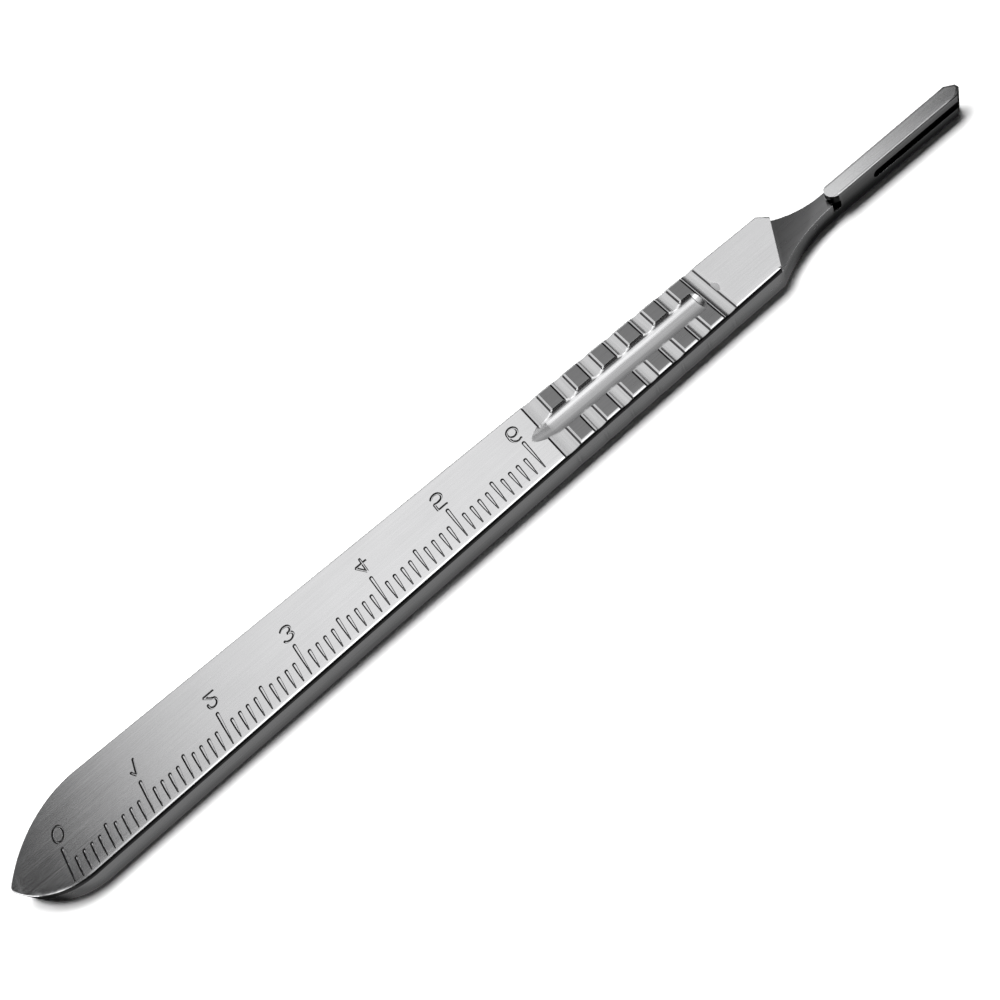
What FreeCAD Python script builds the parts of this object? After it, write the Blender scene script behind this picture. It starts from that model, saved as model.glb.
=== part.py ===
import FreeCAD, Part
import math
import os
import Sketcher

# Graduated scalpel handle: one flat bar of stainless steel, worked all over.
# X runs along the handle from the rounded tail to the blade lug, Y across it with the ruler
# on the -Y side, and Z up through its thickness. It lies on its flat back, the origin is the
# middle of the bounding box's underside, and all sizes are millimetres.

SIZES = {
    # Bar
    "body_length": 96.4,
    "neck_length": 8.5,
    "lug_length": 16.8,
    "thickness": 3.0,
    "tail_width": 10.8,
    "tail_near_round": 8.7,
    "tail_far_round": 10.9,
    "tip_offset": 0.8,
    "tip_round": 0.7,
    "shoulder_width": 6.8,
    "shoulder_slant": 3.4,
    "corner_cut": 0.95,
    "corner_drop": 1.1,
    "edge_bevel": 0.25,
    # Blade fitting
    "lug_width": 1.9,
    "lug_offset": 0.22,
    "nose_length": 0.85,
    "nose_tip": 0.5,
    "seat_depth": 0.75,
    "lug_rear_round": 0.8,
    "slot_floor": 1.1,
    "slot_height": 0.7,
    "slot_depth": 0.45,
    "slot_setback": 5.1,
    "notch_length": 1.0,
    "notch_overhang": 0.9,
    # Grip, which starts this far behind the shoulder
    "grip_start": 27.8,
    "end_flute_width": 2.2,
    "flute_width": 1.78,
    "flute_depth": 0.2,
    "flute_slope": 0.3,
    "pad_length": 1.55,
    "groove_width": 2.8,
    "groove_depth": 0.5,
    "groove_run_out": 2.4,
    "groove_lead": 1.25,
    "groove_stop": 1.4,
    "groove_end_run": 0.8,
    "nick_width": 1.6,
    "nick_depth": 0.26,
    "nick_length": 1.5,
    "nick_trail": 0.55,
    # Ruler
    "ruler_zero": 6.6,
    "ruler_inset": 0.4,
    "ruler_end_inset": 0.7,
    "mark_pitch": 1.0,
    "mark_width": 0.42,
    "mark_foot": 0.12,
    "mark_depth": 0.15,
    "mark_length": 2.45,
    "half_mark_length": 3.05,
    "whole_mark_length": 4.1,
}
PADS_PER_ROW = 6
CENTIMETRES = 6
MARKS_PER_HALF_CM = 5


class Measure:
    """A length in millimetres together with the expression that ties it to the sheet."""

    def __init__(self, value, text):
        self.value = value
        self.text = text

    @staticmethod
    def of(other):
        """The measure itself, or a plain number as a measure."""
        if isinstance(other, Measure):
            return other
        return Measure(float(other), f"{float(other)!r}")

    def combine(self, other, sign, value):
        """A new measure with the two expressions joined by a sign."""
        return Measure(value, f"({self.text} {sign} {Measure.of(other).text})")

    def __add__(self, other):
        return self.combine(other, "+", self.value + Measure.of(other).value)

    def __sub__(self, other):
        return self.combine(other, "-", self.value - Measure.of(other).value)

    def __mul__(self, other):
        return self.combine(other, "*", self.value * Measure.of(other).value)

    def __truediv__(self, other):
        return self.combine(other, "/", self.value / Measure.of(other).value)

    def __neg__(self):
        return Measure(-self.value, f"(-1 * {self.text})")


class Profile:
    """A closed outline in a sketch: corners are pinned by measures, arcs by radius or smoothness."""

    def __init__(self, sketch):
        self.sketch = sketch
        self.first = None
        self.last = None
        self.corner = None
        self.start_corner = None

    def start(self, x, y):
        """Begins the outline at (x, y)."""
        self.corner = (x, y)
        self.start_corner = (x, y)
        return self

    def line(self, x, y):
        """Adds a straight to (x, y)."""
        geo = self.sketch.addGeometry(Part.LineSegment(place(self.corner), place((x, y))), False)
        self.join(geo, 1, 2, x, y)
        return self

    def arc(self, x, y, radius, turn):
        """Adds an arc to (x, y); turn is 1 where it runs anticlockwise and -1 where clockwise."""
        centre = arc_centre(place(self.corner), place((x, y)), radius.value, turn)
        geo, begin, end = add_arc(self.sketch, place(self.corner), place((x, y)), centre, turn)
        self.join(geo, begin, end, x, y)
        tie(self.sketch, Sketcher.Constraint("Radius", geo, radius.value), radius)
        return self

    def arc_tangent(self, x, y, turn, level_at_end):
        """Adds an arc to (x, y) that leaves, or at level_at_end meets, the X direction smoothly."""
        a = place(self.corner)
        b = place((x, y))
        level, other = (b, a) if level_at_end else (a, b)
        run = other.x - level.x
        rise = other.y - level.y
        centre = FreeCAD.Vector(level.x, level.y + (run * run + rise * rise) / (2 * rise), 0)
        geo, begin, end = add_arc(self.sketch, a, b, centre, turn)
        level_x = x if level_at_end else self.corner[0]
        self.join(geo, begin, end, x, y)
        tie(self.sketch, Sketcher.Constraint("DistanceX", geo, 3, level_x.value), level_x)
        return self

    def half_round(self, x, y, turn):
        """Adds a half circle to (x, y), which lies straight above or below the last corner."""
        a = place(self.corner)
        b = place((x, y))
        geo, begin, end = add_arc(self.sketch, a, b, (a + b) * 0.5, turn)
        self.join(geo, begin, end, x, y)
        tie(self.sketch, Sketcher.Constraint("DistanceX", geo, 3, x.value), x)
        return self

    def arc_from_line(self, x, y, turn):
        """Adds an arc to (x, y) that carries on smoothly from the line before it."""
        a = place(self.corner)
        b = place((x, y))
        line = self.sketch.Geometry[self.last[0]]
        centre = smooth_centre(a, b, line.EndPoint - line.StartPoint)
        geo, begin, end = add_arc(self.sketch, a, b, centre, turn)
        self.sketch.addConstraint(Sketcher.Constraint("Tangent", *self.last, geo, begin))
        pin(self.sketch, geo, end, x, y)
        self.last = (geo, end)
        self.corner = (x, y)
        return self

    def close_with_arc_to_line(self, turn):
        """Closes the outline with an arc that runs smoothly into its first line."""
        a = place(self.corner)
        b = place(self.start_corner)
        line = self.sketch.Geometry[self.first[0]]
        centre = smooth_centre(b, a, line.EndPoint - line.StartPoint)
        geo, begin, end = add_arc(self.sketch, a, b, centre, turn)
        self.sketch.addConstraint([
            Sketcher.Constraint("Coincident", *self.last, geo, begin),
            Sketcher.Constraint("Tangent", geo, end, *self.first),
        ])

    def join(self, geo, begin, end, x, y):
        """Joins a new piece to the one before it and pins its far end, or closes the outline."""
        if self.last is None:
            self.first = (geo, begin)
            pin(self.sketch, geo, begin, *self.start_corner)
        else:
            self.sketch.addConstraint(Sketcher.Constraint("Coincident", *self.last, geo, begin))
        if same_place((x, y), self.start_corner):
            self.sketch.addConstraint(Sketcher.Constraint("Coincident", geo, end, *self.first))
        else:
            pin(self.sketch, geo, end, x, y)
        self.last = (geo, end)
        self.corner = (x, y)


def place(corner):
    """The point that a pair of measures stands for."""
    return FreeCAD.Vector(corner[0].value, corner[1].value, 0)


def same_place(a, b):
    """Whether two corners coincide."""
    return place(a).distanceToPoint(place(b)) < 1e-9


def tie(sketch, constraint, measure):
    """Adds a dimension to a sketch and ties it to the sheet."""
    index = sketch.addConstraint(constraint)
    sketch.setExpression(f"Constraints[{index}]", measure.text)


def pin(sketch, geo, point, x, y):
    """Fixes one point of a sketch by its two measures from the origin."""
    tie(sketch, Sketcher.Constraint("DistanceX", geo, point, x.value), x)
    tie(sketch, Sketcher.Constraint("DistanceY", geo, point, y.value), y)


def arc_centre(a, b, radius, turn):
    """The centre of the short arc from a to b that turns as stated."""
    middle = (a + b) * 0.5
    chord = b - a
    reach = math.sqrt(max(radius * radius - chord.Length * chord.Length / 4, 0.0))
    normal = FreeCAD.Vector(-chord.y, chord.x, 0).normalize()
    return middle + normal * (reach * turn)


def smooth_centre(touch, other, along):
    """The centre of the arc that touches a direction at one point and passes another."""
    normal = FreeCAD.Vector(-along.y, along.x, 0).normalize()
    gap = other - touch
    return touch + normal * (gap.dot(gap) / (2 * normal.dot(gap)))


def add_arc(sketch, a, b, centre, turn):
    """Draws the arc and says which of its ends is a and which is b."""
    circle = Part.Circle(centre, FreeCAD.Vector(0, 0, 1), centre.distanceToPoint(a))
    low, high = (a, b) if turn > 0 else (b, a)
    first = math.atan2(low.y - centre.y, low.x - centre.x)
    last = math.atan2(high.y - centre.y, high.x - centre.x)
    if last <= first:
        last += 2 * math.pi
    geo = sketch.addGeometry(Part.ArcOfCircle(circle, first, last), False)
    return (geo, 1, 2) if turn > 0 else (geo, 2, 1)


class Handle:
    """The document, its sheet of sizes and the one body of the handle."""

    def __init__(self, doc):
        self.doc = doc
        self.sheet = doc.addObject("Spreadsheet::Sheet", "Sizes")
        for row, (name, value) in enumerate(SIZES.items(), start=1):
            self.sheet.set(f"A{row}", name)
            self.sheet.set(f"B{row}", str(value))
            self.sheet.setAlias(f"B{row}", name)
        doc.recompute()
        self.body = doc.addObject("PartDesign::Body", "scalpel_handle")
        self.body.Label = "scalpel_handle"
        self.zero = Measure(0.0, "0.0")
        length = self.size("body_length") + self.size("neck_length") + self.size("lug_length")
        self.tail = -length / 2
        self.nose = length / 2
        self.shoulder = self.tail + self.size("body_length")
        self.grip_start = self.shoulder - self.size("grip_start")
        self.lug_start = self.shoulder + self.size("neck_length")
        self.half_shoulder = self.size("shoulder_width") / 2
        self.half_tail = self.size("tail_width") / 2
        self.lug_low = -self.size("lug_offset") - self.size("lug_width") / 2
        self.lug_high = -self.size("lug_offset") + self.size("lug_width") / 2
        run = self.size("body_length") - self.size("tail_far_round")
        self.taper = (self.half_tail - self.half_shoulder) / run
        self.top = self.size("thickness")

    def size(self, name):
        """One size of the sheet as a measure."""
        return Measure(SIZES[name], f"Sizes.{name}")

    def edge_at(self, x):
        """How far the tapered edge lies from the middle line at x."""
        return self.half_shoulder + self.taper * (self.shoulder - x)

    def sketch(self, name, role, offset=None):
        """A sketch on one of the body's own origin planes, moved along its normal."""
        plane = next(o for o in self.body.Origin.OriginFeatures if o.Role == role)
        sketch = self.body.newObject("Sketcher::SketchObject", name)
        sketch.AttachmentSupport = [(plane, "")]
        sketch.MapMode = "FlatFace"
        if offset is not None:
            sketch.AttachmentOffset = FreeCAD.Placement(
                FreeCAD.Vector(0, 0, offset.value), FreeCAD.Rotation())
            sketch.setExpression("AttachmentOffset.Base.z", offset.text)
        return sketch

    def pocket(self, name, sketch, depth, reverse=False):
        """Cuts a sketch away to a depth."""
        pocket = self.body.newObject("PartDesign::Pocket", name)
        pocket.Profile = sketch
        pocket.Length = depth.value
        pocket.setExpression("Length", depth.text)
        pocket.Reversed = reverse
        return self.checked_cut(pocket)

    def pocket_across(self, name, sketch):
        """Cuts a sketch on the lengthwise plane away over the whole width."""
        pocket = self.body.newObject("PartDesign::Pocket", name)
        pocket.Profile = sketch
        pocket.SideType = "Symmetric"
        width = self.size("tail_width") * 2
        pocket.Length = width.value
        pocket.setExpression("Length", width.text)
        return self.checked_cut(pocket)

    def pattern(self, name, feature, axis, pitch, count):
        """Repeats a feature along a construction line of its own sketch."""
        pattern = self.body.newObject("PartDesign::LinearPattern", name)
        pattern.Originals = [feature]
        pattern.Direction = axis
        pattern.Mode = "Spacing"
        pattern.Occurrences = count
        pattern.Offset = pitch.value
        pattern.setExpression("Offset", pitch.text)
        self.body.Tip = pattern
        return self.checked_cut(pattern)

    def checked_cut(self, feature):
        """Recomputes and makes sure that the feature took material away."""
        before = self.volume
        self.doc.recompute()
        self.volume = self.body.Shape.Volume
        print(f"{feature.Name}: {before:.2f} -> {self.volume:.2f} mm3")
        if not self.volume < before:
            raise RuntimeError(f"{feature.Name} takes nothing away")
        return feature

    def axis_line(self, sketch, a, b):
        """A construction line in a sketch, used as a direction or an axis."""
        geo = sketch.addGeometry(Part.LineSegment(place(a), place(b)), True)
        pin(sketch, geo, 1, *a)
        pin(sketch, geo, 2, *b)
        return (sketch, ["Axis0"])


def add_bar(handle):
    """The outline of the whole bar: tail, taper, cut corner, hollowed neck, lug and nose."""
    size = handle.size
    sketch = handle.sketch("BarOutline", "XY_Plane")
    far_corner = handle.shoulder + size("shoulder_slant")
    cut_start = far_corner - size("corner_cut")
    nose_shoulder = handle.nose - size("nose_length")
    nose_half = size("nose_tip") / 2
    middle = -size("lug_offset")
    near_taper = handle.tail + size("tail_near_round")
    far_taper = handle.tail + size("tail_far_round")

    outline = Profile(sketch).start(near_taper, -handle.edge_at(near_taper))
    outline.line(handle.shoulder, -handle.half_shoulder)
    outline.arc_tangent(handle.lug_start, handle.lug_low, -1, True)
    outline.line(nose_shoulder, handle.lug_low)
    outline.line(handle.nose, middle - nose_half)
    outline.line(handle.nose, middle + nose_half)
    outline.line(nose_shoulder, handle.lug_high)
    outline.line(handle.lug_start, handle.lug_high)
    outline.arc_tangent(far_corner, handle.half_shoulder - size("corner_drop"), -1, False)
    outline.line(cut_start, handle.edge_at(cut_start))
    outline.line(far_taper, handle.edge_at(far_taper))
    outline.arc_from_line(handle.tail, -size("tip_offset"), 1)
    outline.close_with_arc_to_line(1)

    pad = handle.body.newObject("PartDesign::Pad", "Bar")
    pad.Profile = sketch
    pad.Length = handle.top.value
    pad.setExpression("Length", handle.top.text)
    handle.doc.recompute()
    handle.volume = handle.body.Shape.Volume
    return add_tip_round(handle, pad)


def add_tip_round(handle, bar):
    """Rounds the upright edge where the two arcs of the tail meet."""
    tip = handle.tail.value
    names = [f"Edge{index}" for index, edge in enumerate(bar.Shape.Edges, start=1)
             if abs(edge.BoundBox.XMax - tip) < 1e-3]
    tip_round = handle.body.newObject("PartDesign::Fillet", "TipRound")
    tip_round.Base = (bar, names)
    radius = handle.size("tip_round")
    tip_round.Radius = radius.value
    tip_round.setExpression("Radius", radius.text)
    return handle.checked_cut(tip_round)


def add_edge_bevels(handle, bar):
    """Bevels the long edges of both faces, from the neck round the tail and back."""
    faces_at = (0.0, handle.top.value)
    limit = handle.lug_start.value
    names = []
    for index, edge in enumerate(bar.Shape.Edges, start=1):
        box = edge.BoundBox
        flat = any(abs(box.ZMin - z) < 1e-6 and abs(box.ZMax - z) < 1e-6 for z in faces_at)
        if flat and box.XMax < limit + 1e-6:
            names.append(f"Edge{index}")
    bevels = handle.body.newObject("PartDesign::Chamfer", "EdgeBevels")
    bevels.Base = (bar, names)
    size = handle.size("edge_bevel")
    bevels.Size = size.value
    bevels.setExpression("Size", size.text)
    handle.checked_cut(bevels)


def add_seat(handle):
    """Lowers the neck to the blade's seat, from the slanted shoulder to the cap's rear."""
    size = handle.size
    margin = size("shoulder_slant")
    reach = size("shoulder_width") - size("corner_drop")
    drift = size("shoulder_slant") / reach
    low_x = handle.shoulder - drift * margin
    high_x = handle.shoulder + drift * (size("shoulder_width") + margin)
    sketch = gap_sketch(handle, "SeatOutline", low_x, high_x, margin)
    handle.pocket("Seat", sketch, size("seat_depth"))


def add_notch(handle):
    """The notch behind the lug, which the blade's rear end snaps into, undercut below the cap."""
    size = handle.size
    left = handle.lug_start - size("notch_length")
    sketch = gap_sketch(handle, "NotchOutline", left, left, size("shoulder_slant"))
    handle.pocket("Notch", sketch, handle.top - size("slot_floor"))

    right = handle.lug_start + size("notch_overhang")
    floor = size("slot_floor")
    ceiling = floor + size("slot_height")
    undercut = handle.sketch("UndercutOutline", "XZ_Plane")
    outline = Profile(undercut).start(left, floor)
    outline.line(right, floor)
    outline.line(right, ceiling)
    outline.line(left, ceiling)
    outline.line(left, floor)
    handle.pocket_across("Undercut", undercut)


def gap_sketch(handle, name, low_x, high_x, margin):
    """An area across the bar that ends at the rounded rear of the lug's cap."""
    bulge = handle.size("lug_rear_round")
    half = handle.size("lug_width") / 2
    radius = (half * half + bulge * bulge) / (bulge * 2)
    rear = handle.lug_start + bulge
    low = -(handle.half_shoulder + margin)
    high = handle.half_shoulder + margin
    sketch = handle.sketch(name, "XY_Plane", handle.top)
    outline = Profile(sketch).start(low_x, low)
    outline.line(rear, low)
    outline.line(rear, handle.lug_low)
    outline.arc(rear, handle.lug_high, radius, -1)
    outline.line(rear, high)
    outline.line(high_x, high)
    outline.line(low_x, low)
    return sketch


def add_blade_slots(handle):
    """The slots that take the blade, one in each side of the lug, open at the nose."""
    size = handle.size
    low = size("slot_floor")
    high = low + size("slot_height")
    start = handle.lug_start + size("slot_setback") + size("slot_height") / 2
    beyond = handle.nose + size("nose_length")
    for name, offset, reverse in (
        ("NearSlot", -handle.lug_low, False),
        ("FarSlot", -handle.lug_high, True),
    ):
        sketch = handle.sketch(f"{name}Outline", "XZ_Plane", offset)
        outline = Profile(sketch).start(start, low)
        outline.line(beyond, low)
        outline.line(beyond, high)
        outline.line(start, high)
        outline.half_round(start, low, 1)
        handle.pocket(name, sketch, size("slot_depth"), reverse)


def scoop(sketch, left, right, surface, depth, slope, sign):
    """A flat-bottomed cut with sloping ends: sign is 1 on the top face and -1 on the back."""
    outside = surface + depth * sign
    floor = surface - depth * sign
    outline = Profile(sketch).start(left, outside)
    outline.line(left, surface)
    outline.line(left + slope, floor)
    outline.line(right - slope, floor)
    outline.line(right, surface)
    outline.line(right, outside)
    outline.line(left, outside)


def add_flutes(handle):
    """Cross flutes on both faces: a wide one at the tail end, then one after each pad."""
    size = handle.size
    depth = size("flute_depth")
    slope = size("flute_slope")
    start = handle.grip_start
    end = start + size("end_flute_width")
    faces = ((handle.top, 1), (handle.zero, -1))
    first = handle.sketch("EndFluteOutline", "XZ_Plane")
    for surface, sign in faces:
        scoop(first, start, end, surface, depth, slope, sign)
    handle.pocket_across("EndFlute", first)

    left = end + size("pad_length")
    right = left + size("flute_width")
    repeated = handle.sketch("FluteOutline", "XZ_Plane")
    axis = handle.axis_line(repeated, (left, handle.top), (right, handle.top))
    for surface, sign in faces:
        scoop(repeated, left, right, surface, depth, slope, sign)
    flute = handle.pocket_across("Flute", repeated)
    pitch = size("pad_length") + size("flute_width")
    handle.pattern("Flutes", flute, axis, pitch, PADS_PER_ROW)


def add_long_grooves(handle):
    """The lengthwise groove between the rows of pads and the nick beyond it, on both faces."""
    size = handle.size
    pitch = size("pad_length") + size("flute_width")
    grip_end = handle.grip_start + size("end_flute_width") + pitch * PADS_PER_ROW
    left = handle.grip_start - size("groove_lead")
    right = grip_end - size("groove_stop")
    nick_end = grip_end + size("nick_trail")
    nick_start = nick_end - size("nick_length")
    nick_run = size("nick_length") / 3
    for face, surface, sign in (("Top", handle.top, 1), ("Back", handle.zero, -1)):
        sink_groove(handle, f"{face}Groove", surface, sign, size("groove_width"), size("groove_depth"),
                    (left, size("groove_run_out")), (right, size("groove_end_run")))
        sink_groove(handle, f"{face}Nick", surface, sign, size("nick_width"), size("nick_depth"),
                    (nick_start, nick_run), (nick_end, nick_run))


def sink_groove(handle, name, surface, sign, width, depth, start, end):
    """A round-bottomed groove in one face; start and end give each end's place and run-out."""
    half = width / 2
    radius = (half * half + depth * depth) / (depth * 2)
    left, left_run = start
    right, right_run = end
    sketch = handle.sketch(f"{name}Outline", "XZ_Plane")
    floor = surface - depth * sign
    axis_level = floor + radius * sign
    lip = surface + depth * sign / 2
    axis = handle.axis_line(sketch, (left, axis_level), (right, axis_level))
    outline = Profile(sketch).start(left - left_run / 2, axis_level)
    outline.line(left - left_run / 2, lip)
    outline.line(left + left_run, floor)
    outline.line(right - right_run, floor)
    outline.line(right + right_run / 2, lip)
    outline.line(right + right_run / 2, axis_level)
    outline.line(left - left_run / 2, axis_level)
    groove = handle.body.newObject("PartDesign::Groove", name)
    groove.Profile = sketch
    groove.ReferenceAxis = axis
    groove.Angle = 360
    handle.checked_cut(groove)


def add_marks(handle, name, length, steps, pitch, count):
    """Sinks marks at the given steps and repeats them along the tapered edge."""
    size = handle.size
    zero_x = handle.tail + size("ruler_zero")
    base = size("ruler_inset") - handle.edge_at(zero_x)
    ruler_run = size("mark_pitch") * (CENTIMETRES * MARKS_PER_HALF_CM * 2)
    rise = handle.taper + (size("ruler_end_inset") - size("ruler_inset")) / ruler_run
    half_head = size("mark_width") / 2
    half_foot = size("mark_foot") / 2
    half_crown = half_head / 2
    sketch = handle.sketch(f"{name}Outline", "XY_Plane", handle.top)
    axis = handle.axis_line(
        sketch, (zero_x, base), (zero_x + ruler_run, base + rise * ruler_run))
    for step in steps:
        x = zero_x + size("mark_pitch") * step
        foot = base + rise * size("mark_pitch") * step
        crown = foot + length
        outline = Profile(sketch).start(x - half_foot, foot)
        outline.line(x + half_foot, foot)
        outline.line(x + half_head, crown - half_head)
        outline.line(x + half_crown, crown)
        outline.line(x - half_crown, crown)
        outline.line(x - half_head, crown - half_head)
        outline.line(x - half_foot, foot)
    marks = handle.pocket(name, sketch, size("mark_depth"))
    handle.pattern(f"{name}Row", marks, axis, pitch, count)


def add_ruler(handle):
    """The ruler: a mark each millimetre, longer at the half and longest at the whole centimetre."""
    size = handle.size
    pitch = size("mark_pitch")
    half_cm = pitch * MARKS_PER_HALF_CM
    whole_cm = half_cm * 2
    short_steps = range(1, MARKS_PER_HALF_CM)
    add_marks(handle, "Marks", size("mark_length"), short_steps, half_cm, CENTIMETRES * 2)
    add_marks(handle, "HalfMarks", size("half_mark_length"), [MARKS_PER_HALF_CM], whole_cm,
              CENTIMETRES)
    add_marks(handle, "WholeMarks", size("whole_mark_length"), [0], whole_cm, CENTIMETRES + 1)


def check(handle):
    """Stops the build where an object failed or the body isn't one sound solid."""
    for obj in handle.doc.Objects:
        if "Invalid" in obj.State or "Error" in obj.State:
            raise RuntimeError(f"{obj.Name} failed: {obj.State}")
    shape = handle.body.Shape
    if shape.isNull() or not shape.isValid() or len(shape.Solids) != 1:
        raise RuntimeError("the handle isn't one sound solid")
    box = shape.BoundBox
    print(f"box X {box.XMin:.3f} {box.XMax:.3f} Y {box.YMin:.3f} {box.YMax:.3f} "
          f"Z {box.ZMin:.3f} {box.ZMax:.3f} volume {shape.Volume:.1f} mm3")


def main():
    """Builds the handle feature by feature and writes it out."""
    handle = Handle(FreeCAD.newDocument("ScalpelHandle"))
    bar = add_bar(handle)
    add_edge_bevels(handle, bar)
    add_seat(handle)
    add_notch(handle)
    add_blade_slots(handle)
    add_flutes(handle)
    add_long_grooves(handle)
    add_ruler(handle)
    check(handle)
    os.makedirs("parts", exist_ok=True)
    handle.body.Shape.exportStep("parts/scalpel_handle.step")


main()
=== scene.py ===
import logging
import math
from dataclasses import dataclass, field
from enum import Enum
from typing import Callable, Dict, List, Sequence, Tuple, Union

import bmesh
import bpy
import numpy as np
from mathutils import Matrix, Vector
from mathutils.geometry import delaunay_2d_cdt


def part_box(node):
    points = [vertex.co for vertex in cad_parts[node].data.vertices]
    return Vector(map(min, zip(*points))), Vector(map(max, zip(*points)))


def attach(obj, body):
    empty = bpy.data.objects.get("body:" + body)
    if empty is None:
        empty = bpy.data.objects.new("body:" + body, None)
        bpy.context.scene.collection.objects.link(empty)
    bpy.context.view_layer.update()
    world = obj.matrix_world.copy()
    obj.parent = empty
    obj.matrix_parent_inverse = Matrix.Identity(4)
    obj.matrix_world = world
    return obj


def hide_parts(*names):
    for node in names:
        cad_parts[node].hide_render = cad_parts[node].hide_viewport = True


# A graduated scalpel handle of stainless steel on a white table. Lengths are millimetres, with X
# along the handle, Y across it away from the ruler and Z up; meshes are made in metres.

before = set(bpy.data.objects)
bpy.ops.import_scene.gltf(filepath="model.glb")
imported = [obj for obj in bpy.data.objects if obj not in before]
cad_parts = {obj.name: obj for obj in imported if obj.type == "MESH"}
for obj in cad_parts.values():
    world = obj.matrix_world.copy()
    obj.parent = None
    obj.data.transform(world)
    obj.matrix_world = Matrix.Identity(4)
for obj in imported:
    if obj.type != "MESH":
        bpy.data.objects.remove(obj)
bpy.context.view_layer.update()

LOG = logging.getLogger("scalpel_handle")
NODE = "scalpel_handle"
PIECE = "scalpel_handle_worked"
MM = 0.001

# Corners in one cell of this many to the millimetre are one corner; a point nearer to a stroke than
# TOUCH lies on it, and a guide narrower than THIN is left out. OUTSIDE is deeper than any place lies.
CELLS = 2e4
TINY = 1e-6
TOUCH = 0.006
THIN = 0.01
OUTSIDE = -1e9

Plan = Tuple[float, float]
Triple = Tuple[float, float, float]
Source = Union[bpy.types.NodeSocket, float, Tuple[float, ...]]


class Finish(Enum):
    """The surfaces that one pass of the works leaves on the handle; the near-black edge finish and the walls
    of the engraved marks are painted shade.
    """

    FACE = 0
    WALL = 1
    FLUTE = 2
    GROOVE = 3
    # painted shade on the walls of the engraved marks
    PAD = 4
    ENGRAVED_SHADE = 5
    SEAT = 6
    # painted shade: near-black steel for the near side's upper band, the flutes' steep steps and the walls
    # of the slots and cuts, where the steel is in shade or mirrors the dark room
    EDGE = 7


class Turn(Enum):
    """Which way an arc of an outline runs round its centre."""

    LEFT = 1
    RIGHT = -1


@dataclass(frozen=True)
class BarSizes:
    """The plan and the thickness of the whole bar."""

    nose: float
    thickness: float
    neck_length: float = 8.5
    lug_length: float = 16.8
    tail_half_width: float = 5.4
    tail_near_round: float = 8.7
    tail_far_round: float = 10.9
    tip_offset: float = 0.8
    tip_round: float = 0.7
    shoulder_half_width: float = 3.4
    shoulder_slant: float = 3.4
    corner_cut: float = 0.95
    corner_drop: float = 1.1
    lug_half_width: float = 0.95
    lug_offset: float = 0.22
    nose_length: float = 0.85
    nose_half_tip: float = 0.25

    @staticmethod
    def from_frame() -> "BarSizes":
        """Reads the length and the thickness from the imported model."""
        _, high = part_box(NODE)
        return BarSizes(nose=high[0] / MM, thickness=high[2] / MM)

    @property
    def tail(self) -> float:
        """Where the tail's two arcs would meet."""
        return -self.nose

    @property
    def lug_start(self) -> float:
        """The lug's rear end."""
        return self.nose - self.lug_length

    @property
    def shoulder(self) -> float:
        """The near end of the slanted shoulder."""
        return self.lug_start - self.neck_length

    @property
    def lug_low(self) -> float:
        """The lug's near side."""
        return -self.lug_offset - self.lug_half_width

    @property
    def lug_high(self) -> float:
        """The lug's far side."""
        return -self.lug_offset + self.lug_half_width

    @property
    def taper(self) -> float:
        """How much the half width shrinks for each millimetre along the body."""
        run = self.shoulder - self.tail - self.tail_far_round
        return (self.tail_half_width - self.shoulder_half_width) / run

    def edge_at(self, x: float) -> float:
        """The half width of the tapered body at x."""
        return self.shoulder_half_width + self.taper * (self.shoulder - x)


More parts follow.
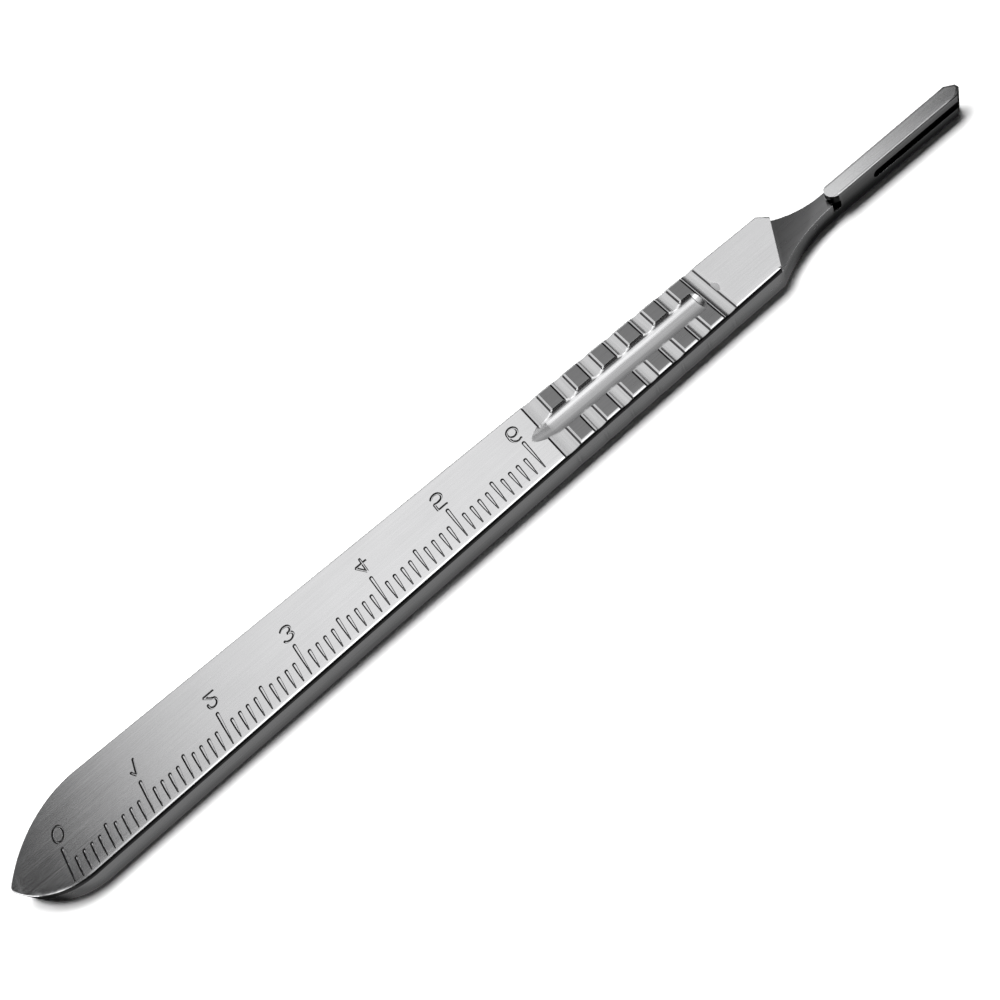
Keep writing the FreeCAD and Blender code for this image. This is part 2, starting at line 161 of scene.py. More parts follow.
@dataclass(frozen=True)
class EdgeSizes:
    """How the long edges are finished: crowned and eased towards the ruler's side, broken elsewhere."""

    crown_width: float = 0.9
    crown_middle: float = 0.36
    crown_rim: float = 0.08
    middle_tilt: float = 7.0
    rim_tilt: float = 20.0
    turn_tilt: float = 76.0
    turn_radius: float = 0.07
    far: float = 0.14
    fitting_facet: float = 0.15
    fitting_inset: float = 0.24
    fitting_tilt: float = 14.0
    underside: float = 0.2
    support: float = 0.04
    # how far down the near side the painted shade band reaches; also the height of a row of the edge's
    # corners
    painted_shade_band: float = 0.66
    steps: int = 8
    crown_points: int = 30
    blend_across: float = 0.9
    blend_from: float = 0.9
    blend_along: float = 3.6
    fitting_from: float = 0.3
    fitting_inside: float = 0.8

    def crown(self, inset: np.ndarray) -> np.ndarray:
        """How far the crowned face has fallen at a distance from the near edge.

        Args:
            inset: Distances from the near edge.

        Returns:
            The fall at each distance.
        """
        insets = np.linspace(self.crown_rim, self.crown_width, self.crown_points)
        tilts = np.interp(insets, [self.crown_rim, self.crown_middle, self.crown_width],
                          [self.rim_tilt, self.middle_tilt, 0.0])
        steps = np.tan(np.radians((tilts[1:] + tilts[:-1]) / 2)) * np.diff(insets)
        falls = np.append(np.cumsum(steps[::-1])[::-1], 0.0)
        return np.interp(inset, insets, falls)

    def near_profile(self) -> np.ndarray:
        """The near upper edge from the rim of the crown to the wall, as insets and falls.

        Returns:
            An array of pairs, from the face down to the wall.
        """
        first, turn = math.radians(self.rim_tilt), math.radians(self.turn_tilt)
        half = self.steps // 2
        start = (self.crown_rim, float(self.crown(np.array(self.crown_rim))))
        found = [start]
        for tilt in np.linspace(first, turn, half + 1)[1:]:
            found.append((start[0] - self.turn_radius * (math.sin(tilt) - math.sin(first)),
                          start[1] + self.turn_radius * (math.cos(first) - math.cos(tilt))))
        inset, fall = found[-1]
        radius = inset / (1.0 - math.sin(turn))
        for tilt in np.linspace(turn, math.pi / 2, self.steps - half + 1)[1:]:
            found.append((inset - radius * (math.sin(tilt) - math.sin(turn)),
                          fall + radius * (math.cos(turn) - math.cos(tilt))))
        return np.array(found)

    def fitting_profile(self) -> np.ndarray:
        """The upper edge of the lug: a flat facet, then a round to the wall.

        Returns:
            An array of pairs of inset and fall.
        """
        tilt = math.radians(self.fitting_tilt)
        rest = self.fitting_inset - self.fitting_facet
        radius = rest / (1.0 - math.sin(tilt))
        fall = self.fitting_facet * math.tan(tilt)
        found = [(self.fitting_inset, 0.0)]
        for angle in np.linspace(tilt, math.pi / 2, self.steps):
            found.append((rest - radius * (math.sin(angle) - math.sin(tilt)),
                          fall + radius * (math.cos(tilt) - math.cos(angle))))
        return np.array(found)

    def round_profile(self, radius: float) -> np.ndarray:
        """A quarter round from the face to the wall, as insets and falls."""
        angles = np.radians(np.linspace(0, 90, self.steps + 1))
        return np.column_stack([radius * (1 - np.sin(angles)), radius * (1 - np.cos(angles))])


@dataclass(frozen=True)
class GripSizes:
    """The cross flutes, the pads between them and the groove along the middle."""

    start: float = 7.75
    end_flute_half: float = 1.1
    flute_half: float = 0.89
    flute_depth: float = 0.2
    flute_slope: float = 0.3
    flute_lip: float = 0.16
    flute_hollow: float = 0.09
    facet: float = 0.17
    facet_fall: float = 0.036
    step_inside: float = 0.08
    step_outside: float = 0.04
    pad_length: float = 1.55
    pads: int = 6
    groove_half: float = 1.4
    groove_depth: float = 0.5
    groove_run_out: float = 2.4
    groove_lead: float = 1.25
    groove_stop: float = 1.4
    groove_end_run: float = 0.8
    nick_half: float = 0.8
    nick_depth: float = 0.07
    nick_length: float = 1.5
    nick_trail: float = 0.55
    lip: float = 0.08

    @property
    def pitch(self) -> float:
        """From one pad to the next."""
        return self.pad_length + self.flute_half * 2

    @property
    def first_pad(self) -> float:
        """The tail end of the first pad."""
        return self.start + self.end_flute_half * 2

    @property
    def end(self) -> float:
        """The front end of the last flute."""
        return self.first_pad + self.pitch * self.pads

    def flutes(self) -> List[Tuple[float, float]]:
        """The middle and the half width of each flute, from the tail on.

        Returns:
            A pair for each flute.
        """
        found = [(self.start + self.end_flute_half, self.end_flute_half)]
        for pad in range(self.pads):
            middle = self.first_pad + self.pitch * pad + self.pad_length + self.flute_half
            found.append((middle, self.flute_half))
        return found


@dataclass(frozen=True)
class RulerSizes:
    """The marks along the near edge and the numerals above the long ones."""

    zero: float = -54.25
    inset: float = 0.4
    end_inset: float = 0.7
    pitch: float = 1.0
    centimetres: int = 6
    head_radius: float = 0.21
    foot_radius: float = 0.08
    short: float = 2.45
    half: float = 3.05
    whole: float = 4.1
    depth: float = 0.17
    wall: float = 0.11
    numeral_height: float = 2.15
    numeral_width: float = 1.5
    numeral_middle: float = 6.14
    numeral_lead: float = 0.17
    numeral_pitch: float = 9.935
    first_lift: float = 0.16
    rim: float = 0.3
    numeral_radius: float = 0.145
    reach: float = 0.1
    waist_place: float = 0.55
    waist: float = 0.82
    lip: float = 0.03
    guide_step: float = 0.12
    wall_share: float = 0.82
    # wall_from and wall_until bound, as depths, the painted shade on the marks' walls
    wall_from: float = 0.02
    wall_until: float = 0.8


@dataclass(frozen=True)
class FittingSizes:
    """The seat, the notch and the slots that hold a blade."""

    seat_depth: float = 0.75
    rear_round: float = 0.8
    slot_floor: float = 1.15
    slot_height: float = 0.92
    slot_depth: float = 0.45
    slot_setback: float = 5.1
    notch_length: float = 0.12
    notch_overhang: float = 0.9
    edge_break: float = 0.04
    seat_break: float = 0.11
    sharp_angle: float = 50.0
    clear: float = 1.0
    slot_step: float = 0.12
    rear_step: float = 0.15


def unit(vector: np.ndarray) -> np.ndarray:
    """The vector at length one."""
    return vector / np.linalg.norm(vector)


def arc_between(start: Plan, end: Plan, centre: Plan, turn: Turn, step: float) -> List[Plan]:
    """Points along an arc, its two ends included.

    Args:
        start: Where the arc begins.
        end: Where it ends.
        centre: Its centre.
        turn: Which way it runs.
        step: The longest distance from one point to the next.

    Returns:
        The points in order.
    """
    radius = math.dist(start, centre)
    first = math.atan2(start[1] - centre[1], start[0] - centre[0])
    last = math.atan2(end[1] - centre[1], end[0] - centre[0])
    if turn is Turn.LEFT and last < first:
        last += 2 * math.pi
    if turn is Turn.RIGHT and last > first:
        last -= 2 * math.pi
    count = max(2, math.ceil(abs(last - first) * radius / step))
    angles = np.linspace(first, last, count + 1)
    points = [(centre[0] + radius * math.cos(a), centre[1] + radius * math.sin(a)) for a in angles]
    points[0] = start
    points[-1] = end
    return points


def line_between(start: Plan, end: Plan, step: float) -> List[Plan]:
    """Evenly spaced points along a straight, its two ends included.

    Args:
        start: Where the line begins.
        end: Where it ends.
        step: The longest distance from one point to the next.

    Returns:
        The points in order.
    """
    count = max(1, math.ceil(math.dist(start, end) / step))
    share = np.linspace(0.0, 1.0, count + 1)
    return [(start[0] + (end[0] - start[0]) * t, start[1] + (end[1] - start[1]) * t) for t in share]


@dataclass(frozen=True)
class FlatCut:
    """The section of a cross flute: a hollow floor, a steep step at each end and a facet on one lip."""

    half: float
    depth: float
    slope: float
    lip: float
    hollow: float
    facet: float
    facet_fall: float

    def marks(self) -> Tuple[float, float, float]:
        """How far from the middle the lip starts, turns into the hollow, and the hollow ends.

        Returns:
            The three distances, the largest first.
        """
        middle = self.half - self.slope / 2
        reach = math.sqrt(max(4 * self.lip * self.depth - self.depth ** 2, 0.0)) / 2
        return middle + reach, middle, middle - reach

    def fall(self, offset: np.ndarray) -> np.ndarray:
        """How far the cut lies below the face at an offset from its middle, towards the nose.

        Args:
            offset: Offsets along the handle.

        Returns:
            The depth at each offset.
        """
        away = np.abs(offset)
        outer, middle, inner = self.marks()
        floor = self.depth - self.hollow * np.clip(away / inner, 0.0, 1.0) ** 2
        round_off = self.lip - np.sqrt(np.maximum(self.lip ** 2 - (outer - away) ** 2, 0.0))
        turned = self.depth - self.lip + np.sqrt(np.maximum(self.lip ** 2 - (away - inner) ** 2, 0.0))
        step = np.where(away > middle, round_off, np.minimum(turned, self.depth - self.hollow))
        cut = np.where(away >= outer, 0.0, np.where(away <= inner, floor, step))
        facet = self.facet_fall * np.clip((outer + self.facet - offset) / self.facet, 0.0, 1.0)
        return np.maximum(cut, np.where(offset > middle, facet, 0.0))


@dataclass(frozen=True)
class RunGroove:
    """A round-bottomed groove along the handle that runs out at both ends."""

    left: float
    right: float
    left_run: float
    right_run: float
    half: float
    depth: float
    lip: float

    @property
    def radius(self) -> float:
        """The radius of the groove's section."""
        return (self.half ** 2 + self.depth ** 2) / (self.depth * 2)

    def radius_at(self, x: np.ndarray) -> np.ndarray:
        """The section's radius at x, smaller where the groove runs out."""
        share = np.minimum((x - self.left) / self.left_run, (self.right - x) / self.right_run)
        return self.radius - self.depth * (1.0 - np.clip(share, 0.0, 1.0))

    def outer(self, radius: np.ndarray) -> np.ndarray:
        """How far from the middle line the face starts to fall."""
        centre = self.radius - self.depth
        return np.sqrt(np.maximum((radius + self.lip) ** 2 - (centre + self.lip) ** 2, 0.0))

    def fall(self, x: np.ndarray, y: np.ndarray) -> np.ndarray:
        """How far the groove lies below the face at a place.

        Args:
            x: Places along the handle.
            y: Places across it.

        Returns:
            The depth at each place.
        """
        centre = self.radius - self.depth
        radius = self.radius_at(x)
        outer = self.outer(radius)
        inner = outer * radius / (radius + self.lip)
        away = np.abs(y)
        floor = np.sqrt(np.maximum(radius ** 2 - away ** 2, 0.0)) - centre
        edge = self.lip - np.sqrt(np.maximum(self.lip ** 2 - (outer - away) ** 2, 0.0))
        cut = np.where(away >= outer, 0.0, np.where(away <= inner, floor, edge))
        return np.where((x > self.left) & (x < self.right), cut, 0.0)


class GripRelief:
    """How deep the grip's flutes and grooves lie at any place of a face.

    Its constants say how closely the mesh follows them: shares of a facet, of a pad and of the groove's
    half width, steps along the groove's ends, and distances from the near edge.
    """

    FACET_SHARES = (0.33, 0.66, 1.0, 1.15)
    PAD_SHARES = (0.2, 0.35, 0.5, 0.65, 0.8)
    GROOVE_SHARES = (0.2, 0.4, 0.6, 0.75, 0.88)
    FROM_NEAR = (0.0, 0.08, 0.17, 0.27, 0.45, 0.65, 0.86)
    TAIL_STEP = 0.12
    FRONT_STEP = -0.08
    CLOSEST = 0.012
    LEAST_HALF = 0.42
    LEAST_LIP = 0.04

    def __init__(self, grip: GripSizes) -> None:
        """Works out the sections of the cuts.

        Args:
            grip: The grip's sizes.
        """
        self.grip = grip
        self.flutes = [(middle, FlatCut(half, grip.flute_depth, grip.flute_slope, grip.flute_lip,
                                        grip.flute_hollow, grip.facet, grip.facet_fall))
                       for middle, half in grip.flutes()]
        self.left = grip.start - grip.groove_lead
        self.right = grip.end + grip.nick_trail
        nick_run = grip.nick_length / 3
        self.groove = RunGroove(self.left, grip.end - grip.groove_stop, grip.groove_run_out,
                                grip.groove_end_run, grip.groove_half, grip.groove_depth, grip.lip)
        self.nick = RunGroove(self.right - grip.nick_length, self.right, nick_run, nick_run,
                              grip.nick_half, grip.nick_depth, grip.lip)

    def flute_depth(self, x: np.ndarray) -> np.ndarray:
        """How deep the cross flutes are at x.

        Args:
            x: Places along the handle.

        Returns:
            The depth at each of them.
        """
        total = np.zeros_like(x)
        for middle, cut in self.flutes:
            total = np.maximum(total, cut.fall(x - middle))
        return total

    def on_step(self, x: np.ndarray) -> np.ndarray:
        """Whether each place lies on the steep step at an end of a flute.

        Args:
            x: Places along the handle.

        Returns:
            True for each place on a step.
        """
        found = np.zeros(len(x), dtype=bool)
        for middle, cut in self.flutes:
            outer, turn, _ = cut.marks()
            away = np.abs(x - middle)
            found |= (away > turn - self.grip.step_inside) & (away < outer - self.grip.step_outside)
        return found

    def groove_depth(self, x: np.ndarray, y: np.ndarray) -> np.ndarray:
        """How deep the long groove and the nick beyond it are at a place."""
        return np.maximum(self.groove.fall(x, y), self.nick.fall(x, y))

    def stations(self, first: float, last: float) -> List[float]:
        """Places along the grip that catch each round and each floor of its section.

        Args:
            first: The grip's tail end.
            last: Its front end.

        Returns:
            The places from the tail on.
        """
        grip = self.grip
        places: List[float] = []
        for middle, cut in self.flutes:
            outer, turn, inner = cut.marks()
            for away in (*np.linspace(0.0, inner, 5), *np.linspace(inner, outer, 11), turn):
                places += [middle + away, middle - away]
            places += [middle + outer + cut.facet * share for share in self.FACET_SHARES]
        for pad in range(grip.pads):
            start = grip.first_pad + grip.pitch * pad
            places += [start + grip.pad_length * share for share in self.PAD_SHARES]
        places += list(np.arange(self.left, grip.start, self.TAIL_STEP))
        places += list(np.arange(self.right, self.groove.right - grip.groove_end_run, self.FRONT_STEP))
        found = {round(float(x), 5) for x in places} | {first, last}
        kept = [x for x in sorted(found) if first <= x <= last]
        return [x for i, x in enumerate(kept) if i == 0 or x - kept[i - 1] > self.CLOSEST]

    def rows(self, x: float, near: float, far: float) -> List[float]:
        """Places across the grip at x, closest together at the groove's edges.

        Args:
            x: The place along the handle.
            near: The near end of the row.
            far: The far end of the row.

        Returns:
            The places from near to far.
        """
        cut = self.groove if x < (self.groove.right + self.nick.left) / 2 else self.nick
        radius = cut.radius_at(np.array(x))
        outer = max(float(cut.outer(radius)), self.LEAST_HALF)
        inner = min(outer * float(radius) / (float(radius) + cut.lip), outer - self.LEAST_LIP)
        half = [inner * share for share in self.GROOVE_SHARES]
        half += list(np.linspace(inner, outer, 5))
        middle = [-y for y in reversed(half)] + [0.0] + half
        low = [near + away for away in self.FROM_NEAR]
        low += list(np.linspace(low[-1], -outer, 5))[1:-1]
        high = list(np.linspace(outer, far, 10))[1:]
        return low + middle + high


@dataclass
class Stroke:
    """An engraved stroke: a run of points in plan, with the cut's half width at each."""

    points: np.ndarray
    radii: np.ndarray

    @staticmethod
    def even(points: Sequence[Plan], radius: float) -> "Stroke":
        """A stroke with one half width all along."""
        return Stroke(np.array(points, dtype=float), np.full(len(points), radius))

    def inside(self, places: np.ndarray) -> np.ndarray:
        """How far inside the stroke's edge each place lies, negative outside.

        Args:
            places: An array of places, in plan.

        Returns:
            The distance to the stroke's edge.
        """
        best = np.full(len(places), OUTSIDE)
        for index in range(len(self.points) - 1):
            a = self.points[index]
            b = self.points[index + 1]
            run = b - a
            share = np.clip(((places - a) @ run) / max(float(run @ run), 1e-12), 0.0, 1.0)
            gap = np.linalg.norm(places - (a + share[:, None] * run), axis=1)
            radius = self.radii[index] + (self.radii[index + 1] - self.radii[index]) * share
            best = np.maximum(best, radius - gap)
        return best

    def ring(self, inset: float, step: float) -> List[List[Plan]]:
        """Runs of points that follow the stroke's edge, moved inwards by inset.

        Args:
            inset: How far the points lie inside the edge.
            step: The longest distance from one point to the next.

        Returns:
            A run for each side and each rounded end.
        """
        runs = []
        for side in (1.0, -1.0):
            run = []
            for index in range(len(self.points) - 1):
                a = self.points[index]
                b = self.points[index + 1]
                ahead = unit(b - a)
                across = np.array([-ahead[1], ahead[0]]) * side
                count = max(1, math.ceil(float(np.linalg.norm(b - a)) / step))
                for share in np.linspace(0.0, 1.0, count + 1):
                    radius = self.radii[index] * (1 - share) + self.radii[index + 1] * share - inset
                    if radius > THIN:
                        run.append(tuple(a + (b - a) * share + across * radius))
            runs.append(run)
        for tip, back in ((0, 1), (-1, -2)):
            ahead = unit(self.points[tip] - self.points[back])
            radius = self.radii[tip] - inset
            if radius > THIN:
                base = math.atan2(ahead[1], ahead[0])
                angles = np.linspace(base - math.pi / 2, base + math.pi / 2, 9)
                runs.append([(self.points[tip][0] + radius * math.cos(a),
                              self.points[tip][1] + radius * math.sin(a)) for a in angles])
        return runs


class Ruler:
    """The engraved ruler: tapered marks with round heads, and a numeral at each centimetre."""

    def __init__(self, sizes: RulerSizes, bar: BarSizes) -> None:
        """Lays out every stroke of the ruler.

        Args:
            sizes: The ruler's own sizes.
            bar: The bar that it is engraved on.
        """
        self.sizes = sizes
        self.bar = bar
        self.strokes: List[Stroke] = []
        self.add_marks()
        self.add_numerals()

    def foot_at(self, step: int) -> Plan:
        """Where the foot of a mark lies.

        Args:
            step: The mark's number, in millimetres from the ruler's zero.

        Returns:
            The foot's place in plan.
        """
        x = self.sizes.zero + self.sizes.pitch * step
        share = step / (self.sizes.centimetres * 10)
        inset = self.sizes.inset + (self.sizes.end_inset - self.sizes.inset) * share
        if step == 0:
            inset += self.sizes.first_lift
        return x, inset - self.bar.edge_at(x)

    def add_marks(self) -> None:
        """Adds a tapered mark for each millimetre."""
        sizes = self.sizes
        for step in range(sizes.centimetres * 10 + 1):
            length = sizes.short
            if step % 10 == 0:
                length = sizes.whole
            elif step % 5 == 0:
                length = sizes.half
            x, foot = self.foot_at(step)
            low = foot + sizes.foot_radius
            high = foot + length - sizes.head_radius
            middle = low + (high - low) * sizes.waist_place
            self.strokes.append(Stroke(
                np.array([(x, low), (x, middle), (x, high)]),
                np.array([sizes.foot_radius, sizes.head_radius * sizes.waist, sizes.head_radius])))

    def add_numerals(self) -> None:
        """Adds the numeral of each centimetre, upright above its long mark."""
        sizes = self.sizes
        for number in range(sizes.centimetres + 1):
            x = sizes.zero + sizes.numeral_lead + sizes.numeral_pitch * number
            y = sizes.numeral_middle - self.bar.edge_at(x)
            for path in numeral_paths(number):
                points = [(x + u * sizes.numeral_width, y + v * sizes.numeral_height) for u, v in path]
                self.strokes.append(Stroke.even(points, sizes.numeral_radius))

    def inside(self, places: np.ndarray) -> np.ndarray:
        """How far inside the engraving each place lies, negative outside.

        Args:
            places: An array of places, in plan.

        Returns:
            The distance to the nearest stroke's edge.
        """
        best = np.full(len(places), OUTSIDE)
        for stroke in self.strokes:
            reach = float(stroke.radii.max()) + self.sizes.reach
            low = stroke.points.min(axis=0) - reach
            high = stroke.points.max(axis=0) + reach
            close = np.all((places > low) & (places < high), axis=1)
            if close.any():
                best[close] = np.maximum(best[close], stroke.inside(places[close]))
        return best

    def depth(self, places: np.ndarray) -> np.ndarray:
        """How deep the engraving is at each place.

        Args:
            places: An array of places, in plan.

        Returns:
            The depth at each place.
        """
        sizes = self.sizes
        inside = self.inside(places)
        share = np.clip(inside / sizes.wall, 0.0, 1.0)
        slope = share * share * (3 - 2 * share)
        floor = np.clip(inside / sizes.head_radius, 0.0, 1.0)
        return sizes.depth * (sizes.wall_share * slope + (1 - sizes.wall_share) * floor)

    def low_line(self, x: np.ndarray) -> np.ndarray:
        """How far down the engraving may reach at x, a little inside the rim of the face.

        Args:
            x: Places along the handle.

        Returns:
            The lowest place across at each of them.
        """
        tail_round = self.bar.tail + self.bar.tail_near_round
        rise = np.maximum(tail_round - x, 0.0) ** 2 / (self.bar.tail_near_round * 2)
        return rise - self.bar.edge_at(x) + self.sizes.rim

    def guides(self) -> Tuple[List[Plan], List[Tuple[int, int]]]:
        """Points along the lips, walls and floors of all strokes, with the edges that join them.

        Returns:
            The points, and the numbers of each joined pair.
        """
        points: List[Plan] = []
        joins: List[Tuple[int, int]] = []
        wall = self.sizes.wall
        for inset in (-self.sizes.lip, 0.0, wall * 0.5, wall):
            for stroke in self.strokes:
                for run in stroke.ring(inset, self.sizes.guide_step):
                    if len(run) < 2:
                        continue
                    places = np.array(run)
                    clear = places[:, 1] > self.low_line(places[:, 0])
                    kept = (self.inside(places) < inset + TOUCH) & clear
                    previous = -1
                    for place, keep in zip(run, kept):
                        if not keep:
                            previous = -1
                            continue
                        points.append(tuple(map(float, place)))
                        if previous >= 0:
                            joins.append((previous, len(points) - 1))
                        previous = len(points) - 1
        points += [tuple(map(float, place)) for stroke in self.strokes for place in stroke.points]
        return points, joins


def curve_points(centre: Plan, radii: Plan, start: float, end: float, count: int) -> List[Plan]:
    """Points along an arc of an ellipse between two angles in degrees."""
    angles = np.radians(np.linspace(start, end, count + 1))
    return [(centre[0] + radii[0] * math.cos(a), centre[1] + radii[1] * math.sin(a)) for a in angles]


def numeral_paths(number: int) -> List[List[Plan]]:
    """The strokes of a numeral in a cell one wide and one high, centred on its middle.

    The numerals are cut with their feet away from the ruler's edge.

    Args:
        number: The numeral, from 0 to 6.

    Returns:
        The points of each stroke.
    """
    return (
        [curve_points((0.0, 0.0), (0.42, 0.42), 90, 450, 20)],
        [[(0.12, 0.42), (-0.08, -0.42), (-0.38, -0.12)]],
        [[(0.42, 0.36), (-0.4, 0.36), (0.12, 0.05)]
         + curve_points((0.04, -0.16), (0.36, 0.25), 40, -190, 10)],
        [curve_points((0.02, 0.19), (0.38, 0.22), 150, -80, 10),
         curve_points((0.0, -0.2), (0.4, 0.22), 75, -160, 10)],
        [[(0.14, 0.46), (0.14, -0.36), (-0.42, 0.2), (0.42, 0.2)]],
        [[(0.36, -0.42), (-0.36, -0.42), (-0.36, -0.02)]
         + curve_points((0.0, 0.18), (0.4, 0.25), -110, 150, 12)],
        [curve_points((0.02, 0.16), (0.38, 0.27), 90, 450, 16),
         curve_points((0.05, -0.05), (0.43, 0.4), 160, 300, 8)],
    )[number]


def all_alike(finish: Finish) -> Callable[[np.ndarray], np.ndarray]:
    """A rule that gives every face the same finish."""
    return lambda middles: np.full(len(middles), finish.value)


def level_at_nought(places: np.ndarray) -> np.ndarray:
    """The height of the flat underside."""
    return np.zeros(len(places))


class Shell:
    """Collects the faces of one surface and joins corners that coincide."""

    def __init__(self) -> None:
        """Starts with no corners and no faces."""
        self.corners: List[Tuple[float, float, float]] = []
        self.known: Dict[Tuple[int, int, int], int] = {}
        self.faces: List[List[int]] = []
        self.finishes: List[int] = []

    def corner(self, place: Sequence[float]) -> int:
        """The number of the corner at a place, new or known.

        Args:
            place: The corner's coordinates.

        Returns:
            Its number.
        """
        key = tuple(round(c * CELLS) for c in place)
        if key not in self.known:
            self.known[key] = len(self.corners)
            self.corners.append(tuple(float(c) for c in place))
        return self.known[key]

    def face(self, places: Sequence[Sequence[float]], finish: int) -> None:
        """Adds a face, unless its corners fall together.

        Args:
            places: The face's corners in order.
            finish: Its finish number.
        """
        ring: List[int] = []
        for place in places:
            index = self.corner(place)
            if index not in ring:
                ring.append(index)
        if len(ring) > 2:
            self.faces.append(ring)
            self.finishes.append(int(finish))

    def strips(self, rows: np.ndarray, finish: Callable[[np.ndarray], np.ndarray]) -> None:
        """Adds the quads between neighbouring rows of corners.

        Args:
            rows: An array of rows, of corners, of coordinates.
            finish: Gives the finish numbers of an array of quads from their middles.
        """
        middles = (rows[:-1, :-1] + rows[:-1, 1:] + rows[1:, 1:] + rows[1:, :-1]) / 4
        finishes = finish(middles.reshape(-1, 3)).reshape(middles.shape[:2])
        for i in range(len(rows) - 1):
            low, high = rows[i], rows[i + 1]
            for j in range(len(low) - 1):
                self.face([low[j], low[j + 1], high[j + 1], high[j]], finishes[i, j])

    def flat(self, ring: Sequence[Plan], height: Callable[[np.ndarray], np.ndarray],
             finish: Callable[[np.ndarray], np.ndarray],
             inner: Sequence[Plan] = (), joins: Sequence[Tuple[int, int]] = ()) -> None:
        """Fills a closed outline with triangles whose corners lie at a given height.

        Args:
            ring: The outline's points in plan.
            height: Gives the height of each of an array of places.
            finish: Gives the finish numbers of an array of triangles from their middles.
            inner: Further points inside the outline.
            joins: Edges between those inner points.
        """
        count = len(ring)
        given = list(ring) + list(inner)
        edges = [(a + count, b + count) for a, b in joins]
        outline = list(range(count))[::-1]
        found, _, faces, sources, _, owners = delaunay_2d_cdt(
            [Vector(p) for p in given], edges, [outline], 0, TINY, True)
        places = np.array([given[source[0]] if source else tuple(p) for p, source in zip(found, sources)])
        heights = height(places)
        solid = np.column_stack([places, heights])
        kept = np.array([corners for corners, owner in zip(faces, owners) if owner])
        finishes = finish(solid[kept].mean(axis=1))
        for corners, number in zip(kept, finishes):
            self.face(solid[corners], number)

    def mesh(self, name: str) -> bpy.types.Mesh:
        """Turns the faces into a mesh in metres.

        Args:
            name: The mesh's name.

        Returns:
            The mesh.
        """
        mesh = bpy.data.meshes.new(name)
        mesh.from_pydata([[c * MM for c in corner] for corner in self.corners], [], self.faces)
        mesh.polygons.foreach_set("material_index", self.finishes)
        mesh.update()
        return mesh


